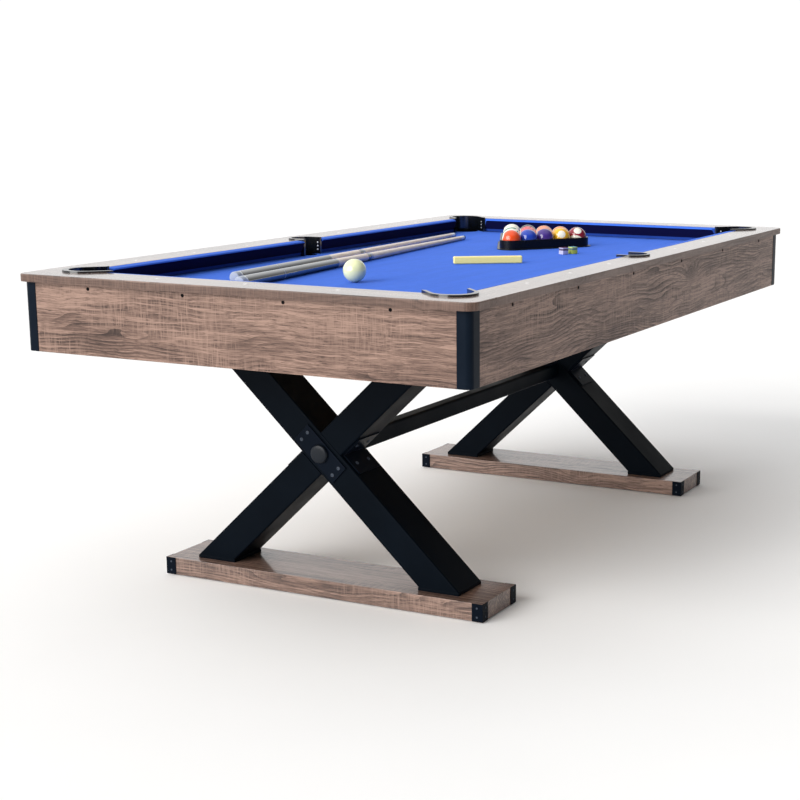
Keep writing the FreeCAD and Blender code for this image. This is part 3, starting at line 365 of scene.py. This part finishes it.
def islands(node):
    """Each solid of a CAD node as (centre, normal of its largest face, radius, thickness)."""
    work = bmesh.new()
    work.from_mesh(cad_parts[node].data)
    bmesh.ops.remove_doubles(work, verts=work.verts, dist=1e-6)
    seen = set()
    found = []
    for start in work.faces:
        if start.index in seen:
            continue
        stack, faces = [start], []
        seen.add(start.index)
        while stack:
            face = stack.pop()
            faces.append(face)
            for edge in face.edges:
                for other in edge.link_faces:
                    if other.index not in seen:
                        seen.add(other.index)
                        stack.append(other)
        points = {vertex for face in faces for vertex in face.verts}
        low = Vector(min(point.co[axis] for point in points) for axis in range(3))
        high = Vector(max(point.co[axis] for point in points) for axis in range(3))
        areas = {}
        for face in faces:
            key = tuple(round(value, 2) for value in face.normal)
            areas[key] = areas.get(key, 0.0) + face.calc_area()
        normal = Vector(max(areas, key=areas.get)).normalized()
        spread = [(point.co - (low + high) / 2) for point in points]
        radius = max((offset - normal * offset.dot(normal)).length for offset in spread)
        thick = 2 * max(abs(offset.dot(normal)) for offset in spread)
        found.append(((low + high) / 2, normal, radius, thick))
    work.free()
    return found


def ring_at(work, turn, base, height, segments, radius_at):
    """A ring of vertices round an axis; radius_at gives the radius at an angle."""
    ring = []
    for step in range(segments):
        angle = 2 * math.pi * step / segments
        radius = radius_at(angle)
        spot = Vector((radius * math.cos(angle), radius * math.sin(angle), height))
        ring.append(work.verts.new(base + turn @ spot))
    return ring


def skin_rings(work, rings):
    """Join closed rings of equal length with four-sided faces."""
    for lower, upper in zip(rings, rings[1:]):
        for step in range(len(lower)):
            after = (step + 1) % len(lower)
            work.faces.new((lower[step], lower[after], upper[after], upper[step]))


def closed_tube(work, rings):
    skin_rings(work, rings)
    work.faces.new(list(reversed(rings[0])))
    work.faces.new(rings[-1])


def lathe(work, profile, base, direction, segments=32):
    """Add a turned solid: profile is (radius, height) from the base up along a direction."""
    turn = UP.rotation_difference(direction).to_matrix()
    rings = [ring_at(work, turn, base, height, segments, lambda _, radius=radius: radius)
             for radius, height in profile]
    closed_tube(work, rings)


def domed(work, shares, centre, outward, radius, thick, segments=32):
    """A turned cap whose profile is given in shares of a disc's radius and thickness."""
    profile = [(radius * share, thick * level) for share, level in shares]
    lathe(work, profile, centre - outward * (thick / 2), outward, segments)


def socket_screw(work, base, direction, radius, height):
    """A low domed screw head with a hexagon socket."""
    turn = UP.rotation_difference(direction).to_matrix()
    segments = 24
    dome = [(1.0, 0.0), (1.0, 0.35), (0.93, 0.66), (0.78, 0.88), (0.56, 1.0)]
    socket_share = 0.46
    socket_floor = 0.25

    def hexagon(angle):
        flat = math.cos(math.pi / 6) / math.cos((angle % (math.pi / 3)) - math.pi / 6)
        return radius * socket_share * flat

    rings = [ring_at(work, turn, base, height * level, segments, lambda _, share=share: radius * share)
             for share, level in dome]
    rings += [ring_at(work, turn, base, height * level, segments, hexagon)
              for level in (1.0, socket_floor)]
    closed_tube(work, rings)


def screws(node, material, outward):
    """Detailed heads for a CAD node's plain screw discs; outward says which way each one faces."""
    work = bmesh.new()
    for centre, normal, radius, thick in islands(node):
        facing = outward(centre, normal)
        socket_screw(work, centre - facing * (thick / 2), facing, radius, thick)
    finished_piece(node + "_heads", work, material, node)


def signed(axis, value):
    """A unit vector along X or Y with the sign of a value."""
    step = math.copysign(1, value)
    return Vector((step, 0, 0)) if axis == "X" else Vector((0, step, 0))


# ---------------------------------------------------------------- places read from the frame
bed_low, bed_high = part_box("bed_cloth")
rail_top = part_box("left_rail_cap")[1].z
cushion_low, cushion_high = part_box("left_head_cushion")
NOSE_Y = cushion_low.y
BACK_Y = cushion_high.y
NOSE_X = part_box("foot_cushion")[0].x
BACK_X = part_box("foot_cushion")[1].x
BED = bed_high.z
LEG_X = (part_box("foot_leg_through_beam")[0].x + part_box("foot_leg_through_beam")[1].x) / 2
CROSS_Z = (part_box("stretcher")[0].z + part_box("stretcher")[1].z) / 2
# Sizes of the CAD that no box gives: the cushion nose above the bed and the pocket radii.
NOSE_Z = BED + 41 * MM
CORNER_INNER = 45 * MM
SIDE_INNER = 38 * MM


# ---------------------------------------------------------------- cabinet
def make_cabinet():
    """Rails, aprons, foot boards, posts and the plain boards inside."""
    rows = {"X": laminate("oak_along_x", "X", 1.0), "Y": laminate("oak_along_y", "Y", 2.6)}
    tops = {"X": laminate("rail_oak_x", "X", 4.1, 1.0, True),
            "Y": laminate("rail_oak_y", "Y", 5.3, 1.0, True)}
    feet = laminate("foot_oak", "Y", 7.2, 0.7)

    def rail_edge(edge):
        """The rail board's top edges, but not the joint between two boards."""
        ends = [vertex.co for vertex in edge.verts]
        at_top = all(spot.z > rail_top - 0.1 * MM for spot in ends)
        joint = all(abs(abs(spot.x) - BACK_X) < 0.1 * MM for spot in ends)
        return at_top and not joint

    for end in ("head", "foot"):
        softened(end + "_rail_cap", 3.0 * MM, tops["Y"], wanted=rail_edge)
        softened(end + "_apron", 0.8 * MM, rows["Y"], segments=2)
        softened(end + "_foot_board", 0.9 * MM, feet, segments=2)
    for side in ("left", "right"):
        softened(side + "_rail_cap", 3.0 * MM, tops["X"], wanted=rail_edge)
        softened(side + "_apron", 0.8 * MM, rows["X"], segments=2)
    post = moulded_plastic("post_plastic", srgb(11, 20, 31), 0.34, level=0.04)
    softened("corner_posts", 1.0 * MM, post, segments=2)
    board = fibre_board("plain_board", srgb(168, 140, 108))
    for node in ("bed_board", "rail_blocks", "bed_ledgers", "head_cross_member", "foot_cross_member"):
        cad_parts[node].data.materials.clear()
        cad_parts[node].data.materials.append(board)
    end_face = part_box("foot_apron")[0].x

    def apron_side(centre, _normal):
        return signed("X", centre.x) if abs(centre.x) > end_face else signed("Y", centre.y)

    dark_screw = coated_metal("dark_screw", srgb(10, 10, 13), 0.35)
    screws("apron_screws", dark_screw, apron_side)


# ---------------------------------------------------------------- legs
def make_legs():
    """Steel beams, plates, brackets and screws, the hub domes and the levellers."""
    steel = coated_metal("black_steel", srgb(4, 9, 16))
    fitting = coated_metal("fitting_steel", srgb(9, 15, 24), roughness=0.32)
    shortest_beam_edge = 250 * MM
    shortest_tube_edge = 500 * MM
    for end in ("head", "foot"):
        low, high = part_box(end + "_leg_through_beam")

        def outer_run(edge, sides=(low.x, high.x)):
            """The long outer edges of a beam."""
            ends = [vertex.co for vertex in edge.verts]
            flush = any(all(abs(spot.x - side) < SAME_PLACE for spot in ends) for side in sides)
            return flush and edge.calc_length() > shortest_beam_edge

        for part in ("through", "upper", "lower"):
            softened(f"{end}_leg_{part}_beam", 4.0 * MM, steel, segments=4,
                     wanted=outer_run)
    tube_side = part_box("stretcher")[1].y

    def tube_run(edge):
        """The long outer edges of the stretcher."""
        outside = all(abs(abs(vertex.co.y) - tube_side) < SAME_PLACE for vertex in edge.verts)
        return outside and edge.calc_length() > shortest_tube_edge

    softened("stretcher", 7.0 * MM, steel, segments=5, wanted=tube_run)
    for node, radius, metal in (("leg_plates", 1.0, steel), ("leg_cover_plates", 1.2, fitting),
                                ("notch_brackets", 0.8, fitting),
                                ("stretcher_brackets", 0.8, fitting),
                                ("foot_board_caps", 0.5, fitting)):
        softened(node, radius * MM, metal, segments=2)
    # Pale grey screw heads: partly the steel's own colour, partly a painted glint that lets them show
    # on the black legs.
    screw_steel_and_glint = coated_metal("screw_steel_and_glint", srgb(64, 70, 80), roughness=0.3)

    def away_from_crossing(centre, normal):
        crossing = Vector((math.copysign(LEG_X, centre.x), 0, CROSS_Z))
        return normal if normal.dot(centre - crossing) > 0 else -normal

    screws("leg_screws", screw_steel_and_glint, away_from_crossing)
    work = bmesh.new()
    hub_profile = [(1.0, 0.0), (1.0, 0.5), (0.97, 0.72), (0.9, 0.86), (0.8, 0.93), (0.5, 0.985),
                   (0.12, 1.0)]
    for centre, _normal, radius, thick in islands("leg_hub_caps"):
        domed(work, hub_profile, centre, signed("X", centre.x), radius, thick, segments=48)
    hub = moulded_plastic("hub_plastic", srgb(11, 17, 25), 0.32)
    finished_piece("leg_hub_caps_domes", work, hub, "leg_hub_caps")
    board_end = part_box("head_foot_board")[1].y

    def cap_side(centre, _normal):
        if abs(centre.y) > board_end:
            return signed("Y", centre.y)
        return signed("X", centre.x - math.copysign(LEG_X, centre.x))

    screws("foot_cap_screws", screw_steel_and_glint, cap_side)
    pad = moulded_plastic("leveller_plastic", srgb(20, 20, 22), 0.5)
    for end in ("head", "foot"):
        for side in ("right", "left"):
            softened(f"{end}_{side}_leveller", 1.0 * MM, pad,
                     body=f"{end}_{side}_leveller", segments=2, sharp=60)


# ---------------------------------------------------------------- pockets and sights
def make_pockets():
    """Moulded pockets with three pale rivets near the end of each jaw arm."""
    plastic = moulded_plastic("pocket_plastic", srgb(10, 13, 18), roughness=0.12, level=0.9)
    rivet = moulded_plastic("rivet_white", srgb(214, 216, 220), roughness=0.3)
    rivet_profile = [(2.2 * MM, -0.4 * MM), (2.2 * MM, 0.3 * MM), (1.6 * MM, 0.8 * MM),
                     (0.6 * MM, 1.05 * MM)]
    rivet_heights = (13, 23, 33)
    for node in [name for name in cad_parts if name.endswith("_pocket")]:
        softened(node, 1.4 * MM, plastic, segments=3, sharp=50)
        low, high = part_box(node)
        corner = not node.startswith("middle")
        inner = CORNER_INNER if corner else SIDE_INNER
        x_sign = math.copysign(1, low.x + high.x) if corner else 0
        y_sign = math.copysign(1, low.y + high.y)
        mouth = Vector((-x_sign, -y_sign, 0)).normalized()
        side = Vector((-mouth.y, mouth.x, 0))
        nose = Vector((x_sign * NOSE_X, y_sign * NOSE_Y, 0))
        inset = inner - 22 * MM if corner else -13 * MM
        work = bmesh.new()
        for sign in (-1, 1):
            for height in rivet_heights:
                spot = nose + mouth * inset + side * sign * inner + UP * (BED + height * MM)
                lathe(work, rivet_profile, spot, -side * sign, segments=16)
        finished_piece(node + "_rivets", work, rivet, node)


def make_sights():
    work = bmesh.new()
    profile = [(1.0, 0.0), (1.0, 0.4), (0.94, 0.7), (0.8, 0.9), (0.4, 1.0)]
    for centre, _normal, radius, thick in islands("rail_sights"):
        domed(work, profile, centre, UP, radius, thick)
    finished_piece("rail_sight_domes", work, pearl("sight_pearl"), "rail_sights")


# ---------------------------------------------------------------- cloth and cushions
BLUE = srgb(64, 114, 226)
# Navy painted shade for the cloth's downward-facing faces.
PAINTED_SHADE_NAVY = srgb(4, 6, 52)


def make_bed(material):
    """The stretched bed cloth: its top face, cut out round each pocket."""
    work = clean_copy("bed_cloth")
    lower = [face for face in work.faces if face.normal.z < 0.9]
    bmesh.ops.delete(work, geom=lower, context="FACES")
    area = sum(face.calc_area() for face in work.faces)
    bmesh.ops.triangulate(work, faces=work.faces)
    piece = finished_piece("bed_cloth_sheet", work, material, "bed_cloth")


def cushion_outline():
    """Rounded section of a cushion as (distance in front of its back, height above the bed)."""
    reach = BACK_Y - NOSE_Y
    top = rail_top - BED
    nose = NOSE_Z - BED
    foot = 1.3 * MM
    points = [(0.0, foot), (0.0, top - 0.4 * MM)]
    crown_steps = 8
    for step in range(1, crown_steps + 1):
        share = step / crown_steps
        fall = (top - nose - 1.0 * MM) * share ** 1.6
        points.append((reach * 0.93 * share, top - 0.2 * MM - fall))
    nose_radius = 2.2 * MM
    for step in range(1, 6):
        angle = math.radians(60 - 30 * step)
        points.append((reach - nose_radius + nose_radius * math.cos(angle),
                       nose - 2.6 * MM + nose_radius * math.sin(angle)))
    points.append((reach * 0.62, top * 0.42))
    points.append((9.5 * MM, top * 0.22))
    points.append((9.0 * MM, foot))
    return points


def make_cushion(node, material):
    """One cushion lofted between its two mitred ends, with the cloth tucked in at each end."""
    low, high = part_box(node)
    along_x = high.x - low.x > high.y - low.y
    along, across = (0, 1) if along_x else (1, 0)
    sign = 1 if low[across] > 0 else -1
    back = (high if sign > 0 else low)[across]
    reach = high[across] - low[across]
    outline = cushion_outline()

    def end_at(depth, which):
        """Where the cushion ends, depth in front of its back, at its low or high end."""
        edge = (low if which < 0 else high)[along]
        at_side_pocket = along_x and abs(edge) < 0.1
        return edge if at_side_pocket else edge - which * depth

    count = 60
    work = bmesh.new()
    rings = []
    # Share of the length and scale of the section, where the cloth tucks in at an end.
    tucks = [(0.0, 0.90), (0.0012, 0.955), (0.004, 0.985), (0.009, 0.997)]
    first_share = 0.012
    spread = 1 - 2 * first_share
    stations = tucks + [(first_share + spread * step / count, 1.0) for step in range(count + 1)]
    stations += [(1 - share, shrink) for share, shrink in reversed(tucks)]
    middle = (reach * 0.4, (rail_top - BED) * 0.55)
    for share, shrink in stations:
        ring = []
        for depth, height in outline:
            depth = middle[0] + (depth - middle[0]) * shrink
            height = middle[1] + (height - middle[1]) * shrink
            start = end_at(depth, -1)
            stop = end_at(depth, 1)
            spot = [0.0, 0.0, BED + height]
            spot[along] = start + (stop - start) * share
            spot[across] = back - sign * depth
            ring.append(work.verts.new(spot))
        rings.append(ring)
    skin_rings(work, rings)
    work.faces.new(rings[0])
    work.faces.new(list(reversed(rings[-1])))
    bmesh.ops.recalc_face_normals(work, faces=work.faces)
    piece = finished_piece(node + "_cover", work, material, node, angle=50)


def make_cushions(material):
    for node in [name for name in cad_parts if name.endswith("_cushion")]:
        make_cushion(node, material)


# ---------------------------------------------------------------- balls, rack and cues
def set_ball(name, centre, material, body, look):
    """One ball of the CAD node named like its body; look is where one of its pale spots faces."""
    work = bmesh.new()
    bmesh.ops.create_uvsphere(work, u_segments=48, v_segments=32, radius=BALL)
    mesh = mesh_from(work, name)
    mesh.materials.append(material)
    smooth(mesh)
    piece = bpy.data.objects.new(name, mesh)
    bpy.context.scene.collection.objects.link(piece)
    turn = Vector((1, 0, 0)).rotation_difference(look.normalized())
    piece.matrix_world = Matrix.Translation(centre) @ turn.to_matrix().to_4x4()
    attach(piece, body)
    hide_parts(body)


YELLOW = srgb(250, 186, 30)
AZURE = srgb(28, 66, 178)
CORAL = srgb(246, 82, 30)
VIOLET = srgb(70, 44, 132)
PEACH = srgb(240, 138, 92)
ORANGE = srgb(250, 140, 40)
EMERALD = srgb(24, 128, 96)
MAROON = srgb(146, 20, 46)
ROSE = srgb(222, 60, 74)
JET = srgb(14, 14, 16)
AWAY = (0.45, -0.85, -0.3)
# Colour, whether striped, and where a pale spot faces; AWAY turns both spots side-on to the camera.
BALL_LOOKS = [(CORAL, False, AWAY), (AZURE, False, AWAY), (VIOLET, False, AWAY),
              (YELLOW, False, (-0.75, -0.45, 0.42)), (MAROON, True, (0.5, 0.3, -0.6)),
              (EMERALD, True, (0.2, -0.9, 0.3)), (ROSE, False, AWAY), (PEACH, False, AWAY),
              (ORANGE, False, AWAY), (EMERALD, True, (0.1, 0.8, -0.5)), (ROSE, False, AWAY),
              (PEACH, False, AWAY), (AZURE, True, (0.7, 0.2, 0.5)), (JET, False, AWAY),
              (VIOLET, True, (0.8, 0.4, 0.2))]


def make_balls():
    cream = gloss("cue_ball_resin", srgb(252, 249, 186), 0.05)
    low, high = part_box("cue_ball")
    set_ball("cue_ball_resin_ball", (low + high) / 2, cream, "cue_ball",
             Vector((1, 0, 0)))
    rows = rack_order([row[0] for row in islands("object_balls")])
    for number, (centre, (colour, striped, look)) in enumerate(zip(rows, BALL_LOOKS), start=1):
        shader = ball_shader(f"ball_{number}_resin", colour, striped)
        set_ball(f"object_ball_{number}", centre, shader, "object_balls",
                 Vector(look))


def rack_order(centres):
    """The balls row by row from the full row that lies nearest the head of the table."""
    middle = sum(centres, Vector()) / len(centres)
    corners = sorted(centres, key=lambda spot: -(spot - middle).length)[:3]
    far = max(corners, key=lambda spot: spot.x * 0.6 + spot.y)
    depth = (far - middle).normalized()
    along = Vector((depth.y, -depth.x, 0))
    return sorted(centres, key=lambda spot: (round((spot - middle).dot(depth) / (BALL * 1.2)),
                                             (spot - middle).dot(along)))


def make_rack():
    plastic = moulded_plastic("rack_plastic", srgb(8, 9, 13), 0.26)
    softened("rack", 1.0 * MM, plastic, body="rack", segments=2, sharp=50)


def cue_ends(number):
    """The centre and the vertices of each end of the butt and of the shaft, butt first."""
    ends = []
    for half in ("butt", "shaft"):
        points = [vertex.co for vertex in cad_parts[f"cue_{number}_{half}"].data.vertices]
        middle = sum(points, Vector()) / len(points)
        farthest = max(points, key=lambda spot: spot.x)
        spine = (farthest - min(points, key=lambda spot: spot.x)).normalized()
        for sign in (-1, 1):
            limit = max(sign * (spot - middle).dot(spine) for spot in points)
            ring = [spot for spot in points
                    if sign * (spot - middle).dot(spine) > limit - 20 * MM]
            ends.append((sum(ring, Vector()) / len(ring), ring))
    return ends


def make_cue(number):
    """A cue turned in rings: bumper, lacquered butt, joint collar, shaft, ferrule and tip."""
    ends = cue_ends(number)
    start, tip = ends[0][0], ends[3][0]
    direction = (tip - start).normalized()
    length = (tip - start).length
    split = (ends[1][0] - start).dot(direction)

    def end_radius(centre, ring):
        offsets = [spot - centre for spot in ring]
        return max((offset - direction * offset.dot(direction)).length for offset in offsets)

    butt_radius, tip_radius = end_radius(*ends[0]), end_radius(*ends[3])

    def radius_at(place):
        return (butt_radius + (tip_radius - butt_radius) * place / length) - 0.1 * MM

    lacquer = gloss(f"cue_{number}_lacquer", srgb(14, 18, 30), 0.05, coat_ior=3.2)
    maple = polished_maple(f"cue_{number}_maple")
    white = gloss(f"cue_{number}_white", srgb(238, 236, 230), 0.2)
    silver = gloss(f"cue_{number}_ring", srgb(176, 178, 184), 0.15)
    leather = moulded_plastic(f"cue_{number}_leather", srgb(62, 96, 150), 0.7)
    # Painted highlight: the bumper is pale blue-grey to show the sky light on the butt's end.
    rubber_painted_highlight = moulded_plastic(f"cue_{number}_rubber", srgb(176, 184, 198), 0.5)
    sleeve = split * 0.71
    edge = 0.5 * MM
    # Name, start and end along the cue, material and the half that it belongs to.
    parts = [("bumper", 0.0, 0.018, rubber_painted_highlight, "butt"),
             ("cap_ring", 0.018, 0.024, white, "butt"),
             ("lower_butt", 0.024, 0.21, lacquer, "butt"),
             ("wrap_ring", 0.21, 0.214, silver, "butt"),
             ("handle", 0.214, sleeve, lacquer, "butt"),
             ("sleeve_ring", sleeve, sleeve + 0.005, silver, "butt"),
             ("forearm", sleeve + 0.005, split - 0.02, maple, "butt"),
             ("joint_collar", split - 0.02, split, lacquer, "butt"),
             ("shaft_collar", split, split + 0.012, silver, "shaft"),
             ("shaft_wood", split + 0.012, length - 0.036, maple, "shaft"),
             ("ferrule", length - 0.036, length - 0.011, white, "shaft"),
             ("tip", length - 0.011, length, leather, "shaft")]
    for name, near, far, material, half in parts:
        profile = [(radius_at(near) - edge, near), (radius_at(near), near + edge),
                   (radius_at(far), far - edge), (radius_at(far) - edge, far)]
        if name == "tip":
            profile = [(radius_at(near), near), (radius_at(near), far - 4 * MM),
                       (radius_at(far) * 0.86, far - 2 * MM), (radius_at(far) * 0.5, far - 0.6 * MM),
                       (radius_at(far) * 0.15, far)]
        if name == "bumper":
            profile = [(radius_at(near) * 0.5, near), (radius_at(near) * 0.86, near + 1.5 * MM),
                       (radius_at(near) * 0.98, near + 5 * MM), (radius_at(far), far)]
        work = bmesh.new()
        lathe(work, profile, start, direction, segments=40)
        finished_piece(f"cue_{number}_{name}", work, material, f"cue_{number}_{half}",
                       body=f"cue_{number}")


# ---------------------------------------------------------------- chalk and brush
def chalk_shader(name, label, top):
    """A paper label round the sides and a chalky top with a worn hollow."""
    s = Shader(name, roughness=0.8)
    place = s.place()
    sides = s.axes(place)
    height = sides[2]
    speck = s.noise(place, 900.0, detail=3.0)
    paper = s.ramp(speck, (0.3, tuple(channel * 0.85 for channel in label)), (0.7, label))
    band = s.range(s.math("ABSOLUTE", s.math("SUBTRACT", height, 0.004)), 0.0028, 0.0031, 1.0, 0.0)
    paper = s.mix(s.math("MULTIPLY", band, 0.85), paper, tuple(channel * 0.45 for channel in top))
    chalk = s.ramp(speck, (0.3, tuple(channel * 0.8 for channel in top)), (0.7, top))
    across = s.math("MAXIMUM", s.math("ABSOLUTE", sides[0]), s.math("ABSOLUTE", sides[1]))
    hollow = s.math("MULTIPLY", s.range(across, 0.0082, 0.0084, 1.0, 0.0),
                    s.range(height, 0.005, 0.006))
    s.colour(s.mix(s.math("MAXIMUM", s.range(height, 0.0091, 0.0093), hollow), paper, chalk))
    s.bump(speck, 0.3, 0.0004)
    return s.material


def make_chalk():
    """Two chalk cubes with softened edges and a stepped hollow worn into each top."""
    labels = [(srgb(198, 196, 226), srgb(92, 40, 74)), (srgb(214, 226, 92), srgb(120, 170, 180))]
    turn = Matrix.Rotation(math.radians(-28), 4, "Z")
    low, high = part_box("chalk_cubes")
    size = high.z - low.z
    centres = sorted((row[0] for row in islands("chalk_cubes")), key=lambda spot: spot.x)
    for number, (centre, (label, top)) in enumerate(zip(centres, labels), start=1):
        work = bmesh.new()
        bmesh.ops.create_cube(work, size=size)
        bmesh.ops.bevel(work, geom=work.edges, offset=1.0 * MM, segments=3, profile=0.5,
                        affect="EDGES")
        top_face = max(work.faces, key=lambda face: face.calc_center_median().z)
        for thickness, drop in ((2.0 * MM, 0.8 * MM), (4.0 * MM, 1.6 * MM)):
            bmesh.ops.inset_individual(work, faces=[top_face], thickness=thickness)
            bmesh.ops.translate(work, vec=(0, 0, -drop), verts=top_face.verts)
        mesh = mesh_from(work, f"chalk_{number}")
        mesh.materials.append(chalk_shader(f"chalk_{number}_paper", label, top))
        smooth(mesh)
        mesh.set_sharp_from_angle(angle=math.radians(35))
        piece = bpy.data.objects.new(f"chalk_cube_{number}", mesh)
        bpy.context.scene.collection.objects.link(piece)
        piece.matrix_world = Matrix.Translation(centre) @ turn
        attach(piece, "chalk_cubes")
        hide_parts("chalk_cubes")


def make_brush_body():
    s = Shader("brush_wood", roughness=0.35, Coat_Weight=0.3)
    grain = s.noise(s.place(scale=(40, 40, 300)), 3.0, detail=3.0)
    s.colour(s.ramp(grain, (0.3, srgb(252, 236, 140)), (0.7, srgb(255, 244, 160))))
    softened("brush_body", 3.5 * MM, s.material, body="brush", segments=4)


def make_bristles():
    """Rows of bristle tufts that fill the CAD block, each tuft a tapered splayed bundle."""
    random.seed(5)
    node = "brush_bristles"
    low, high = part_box(node)
    centre = (low + high) / 2
    body_centre = sum(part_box("brush_body"), Vector()) / 2
    brush_turn = math.radians(-54)
    along = Vector((math.cos(brush_turn), math.sin(brush_turn), 0))
    outward = Vector((-along.y, along.x, 0))
    if outward.dot(centre - body_centre) < 0:
        outward = -outward
    points = [vertex.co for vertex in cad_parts[node].data.vertices]

    def extent(direction):
        places = [spot.dot(direction) for spot in points]
        return max(places) - min(places)

    reach, depth, height = extent(along), extent(outward), high.z - low.z
    radius = 0.55 * MM
    columns, rows, bristles_each = 26, 4, 5
    work = bmesh.new()
    for column in range(columns):
        for row in range(rows):
            base = centre + along * reach * ((column + 0.5) / columns - 0.5)
            base = base - outward * depth / 2 + Vector((0, 0, height * ((row + 0.5) / rows - 0.5)))
            for _ in range(bristles_each):
                lean = (outward + along * random.uniform(-0.12, 0.12)
                        + Vector((0, 0, random.uniform(-0.06, 0.06)))).normalized()
                start = (base + along * random.uniform(-1.6, 1.6) * MM
                         + UP * (random.uniform(-1, 1) * MM))
                length = depth * random.uniform(0.86, 0.97)
                lathe(work, [(radius, 0.0), (radius * 0.8, length * 0.7), (radius * 0.45, length)],
                      start, lean, segments=5)
    black = moulded_plastic("bristle_black", srgb(20, 20, 24), 0.45)
    finished_piece("brush_bristle_tufts", work, black, node, body="brush")


# ---------------------------------------------------------------- stage, light and camera
def make_floor():
    """A wide pale floor just under the table's feet."""
    bpy.ops.mesh.primitive_plane_add(size=300, location=(0, 0, -0.5 * MM))
    floor = bpy.context.object
    floor.name = "floor"
    s = Shader("pale_floor", roughness=0.9, Specular_IOR_Level=0.1)
    s.colour(s.ramp(s.noise(s.place(), 2.0), (0.3, (0.965,) * 3), (0.7, (0.985,) * 3)))
    floor.data.materials.append(s.material)


def make_sky():
    """A soft pale sky: bright behind the table, overhead and at the horizon, dim at its right side."""
    world = bpy.data.worlds.new("studio")
    bpy.context.scene.world = world
    world.use_nodes = True
    tree = world.node_tree
    background = tree.nodes["Background"]
    background.inputs["Strength"].default_value = 0.8
    direction = tree.nodes.new("ShaderNodeTexCoord").outputs["Generated"]
    facing = tree.nodes.new("ShaderNodeVectorMath")
    facing.operation = "DOT_PRODUCT"
    tree.links.new(direction, facing.inputs[0])
    facing.inputs[1].default_value = (-0.1, -0.99, 0.0)
    height = tree.nodes.new("ShaderNodeSeparateXYZ")
    tree.links.new(direction, height.inputs[0])

    def level(source, low, high, out_low, out_high):
        item = tree.nodes.new("ShaderNodeMapRange")
        tree.links.new(source, item.inputs["Value"])
        for name, value in (("From Min", low), ("From Max", high), ("To Min", out_low),
                            ("To Max", out_high)):
            item.inputs[name].default_value = value
        return item.outputs["Result"]

    brightest = level(facing.outputs["Value"], -0.2, 0.35, 1.3, 0.15)
    above = level(height.outputs["Z"], 0.6, 0.95, 0.0, 1.15)
    horizon = level(height.outputs["Z"], 0.04, 0.12, 1.15, 0.0)
    for other in (above, horizon):
        larger = tree.nodes.new("ShaderNodeMath")
        larger.operation = "MAXIMUM"
        tree.links.new(brightest, larger.inputs[0])
        tree.links.new(other, larger.inputs[1])
        brightest = larger.outputs["Value"]
    tree.links.new(brightest, background.inputs["Color"])


def make_key_light():
    """A broad, very soft light from the near end."""
    key = bpy.data.lights.new("key", "SUN")
    key.energy = 3.3
    key.angle = math.radians(50)
    key.color = (1.0, 0.985, 0.96)
    lamp = bpy.data.objects.new("key", key)
    bpy.context.scene.collection.objects.link(lamp)
    lamp.rotation_euler = Vector((4.0, -1.6, -1.6)).to_track_quat("-Z", "Y").to_euler()


# The camera fitted to the photo: place, angles in degrees, and lens as shares of the picture width.
CAMERA_PLACE = Vector((-3.8825, -2.0344, 1.1864))
CAMERA_AZIMUTH = -64.776
CAMERA_ELEVATION = 12.389
CAMERA_ROLL = 0.277
SENSOR = 36.0
FOCAL_SHARE = 1.99125
SHIFT = (-0.1595, 0.0595)


def make_camera():
    camera = bpy.data.cameras.new("camera")
    camera.sensor_width = SENSOR
    camera.lens = SENSOR * FOCAL_SHARE
    camera.shift_x, camera.shift_y = SHIFT
    camera.clip_end = 200
    holder = bpy.data.objects.new("camera", camera)
    bpy.context.scene.collection.objects.link(holder)
    azimuth, elevation = math.radians(CAMERA_AZIMUTH), math.radians(CAMERA_ELEVATION)
    back = Vector((math.sin(azimuth) * math.cos(elevation), -math.cos(azimuth) * math.cos(elevation),
                   math.sin(elevation)))
    right = UP.cross(back).normalized()
    up = back.cross(right)
    roll = math.radians(CAMERA_ROLL)
    rolled_right = right * math.cos(roll) + up * math.sin(roll)
    rolled_up = up * math.cos(roll) - right * math.sin(roll)
    turn = Matrix((rolled_right, rolled_up, back)).transposed().to_4x4()
    holder.matrix_world = Matrix.Translation(CAMERA_PLACE) @ turn
    bpy.context.scene.camera = holder


# ---------------------------------------------------------------- make everything
make_camera()
make_floor()
make_sky()
make_key_light()
bpy.context.scene.view_settings.view_transform = "Standard"
make_cabinet()
make_legs()
make_pockets()
make_sights()
felt = cloth("blue_cloth", BLUE, PAINTED_SHADE_NAVY)
make_bed(felt)
make_cushions(felt)
make_balls()
make_rack()
make_cue(1)
make_cue(2)
make_chalk()
make_brush_body()
make_bristles()
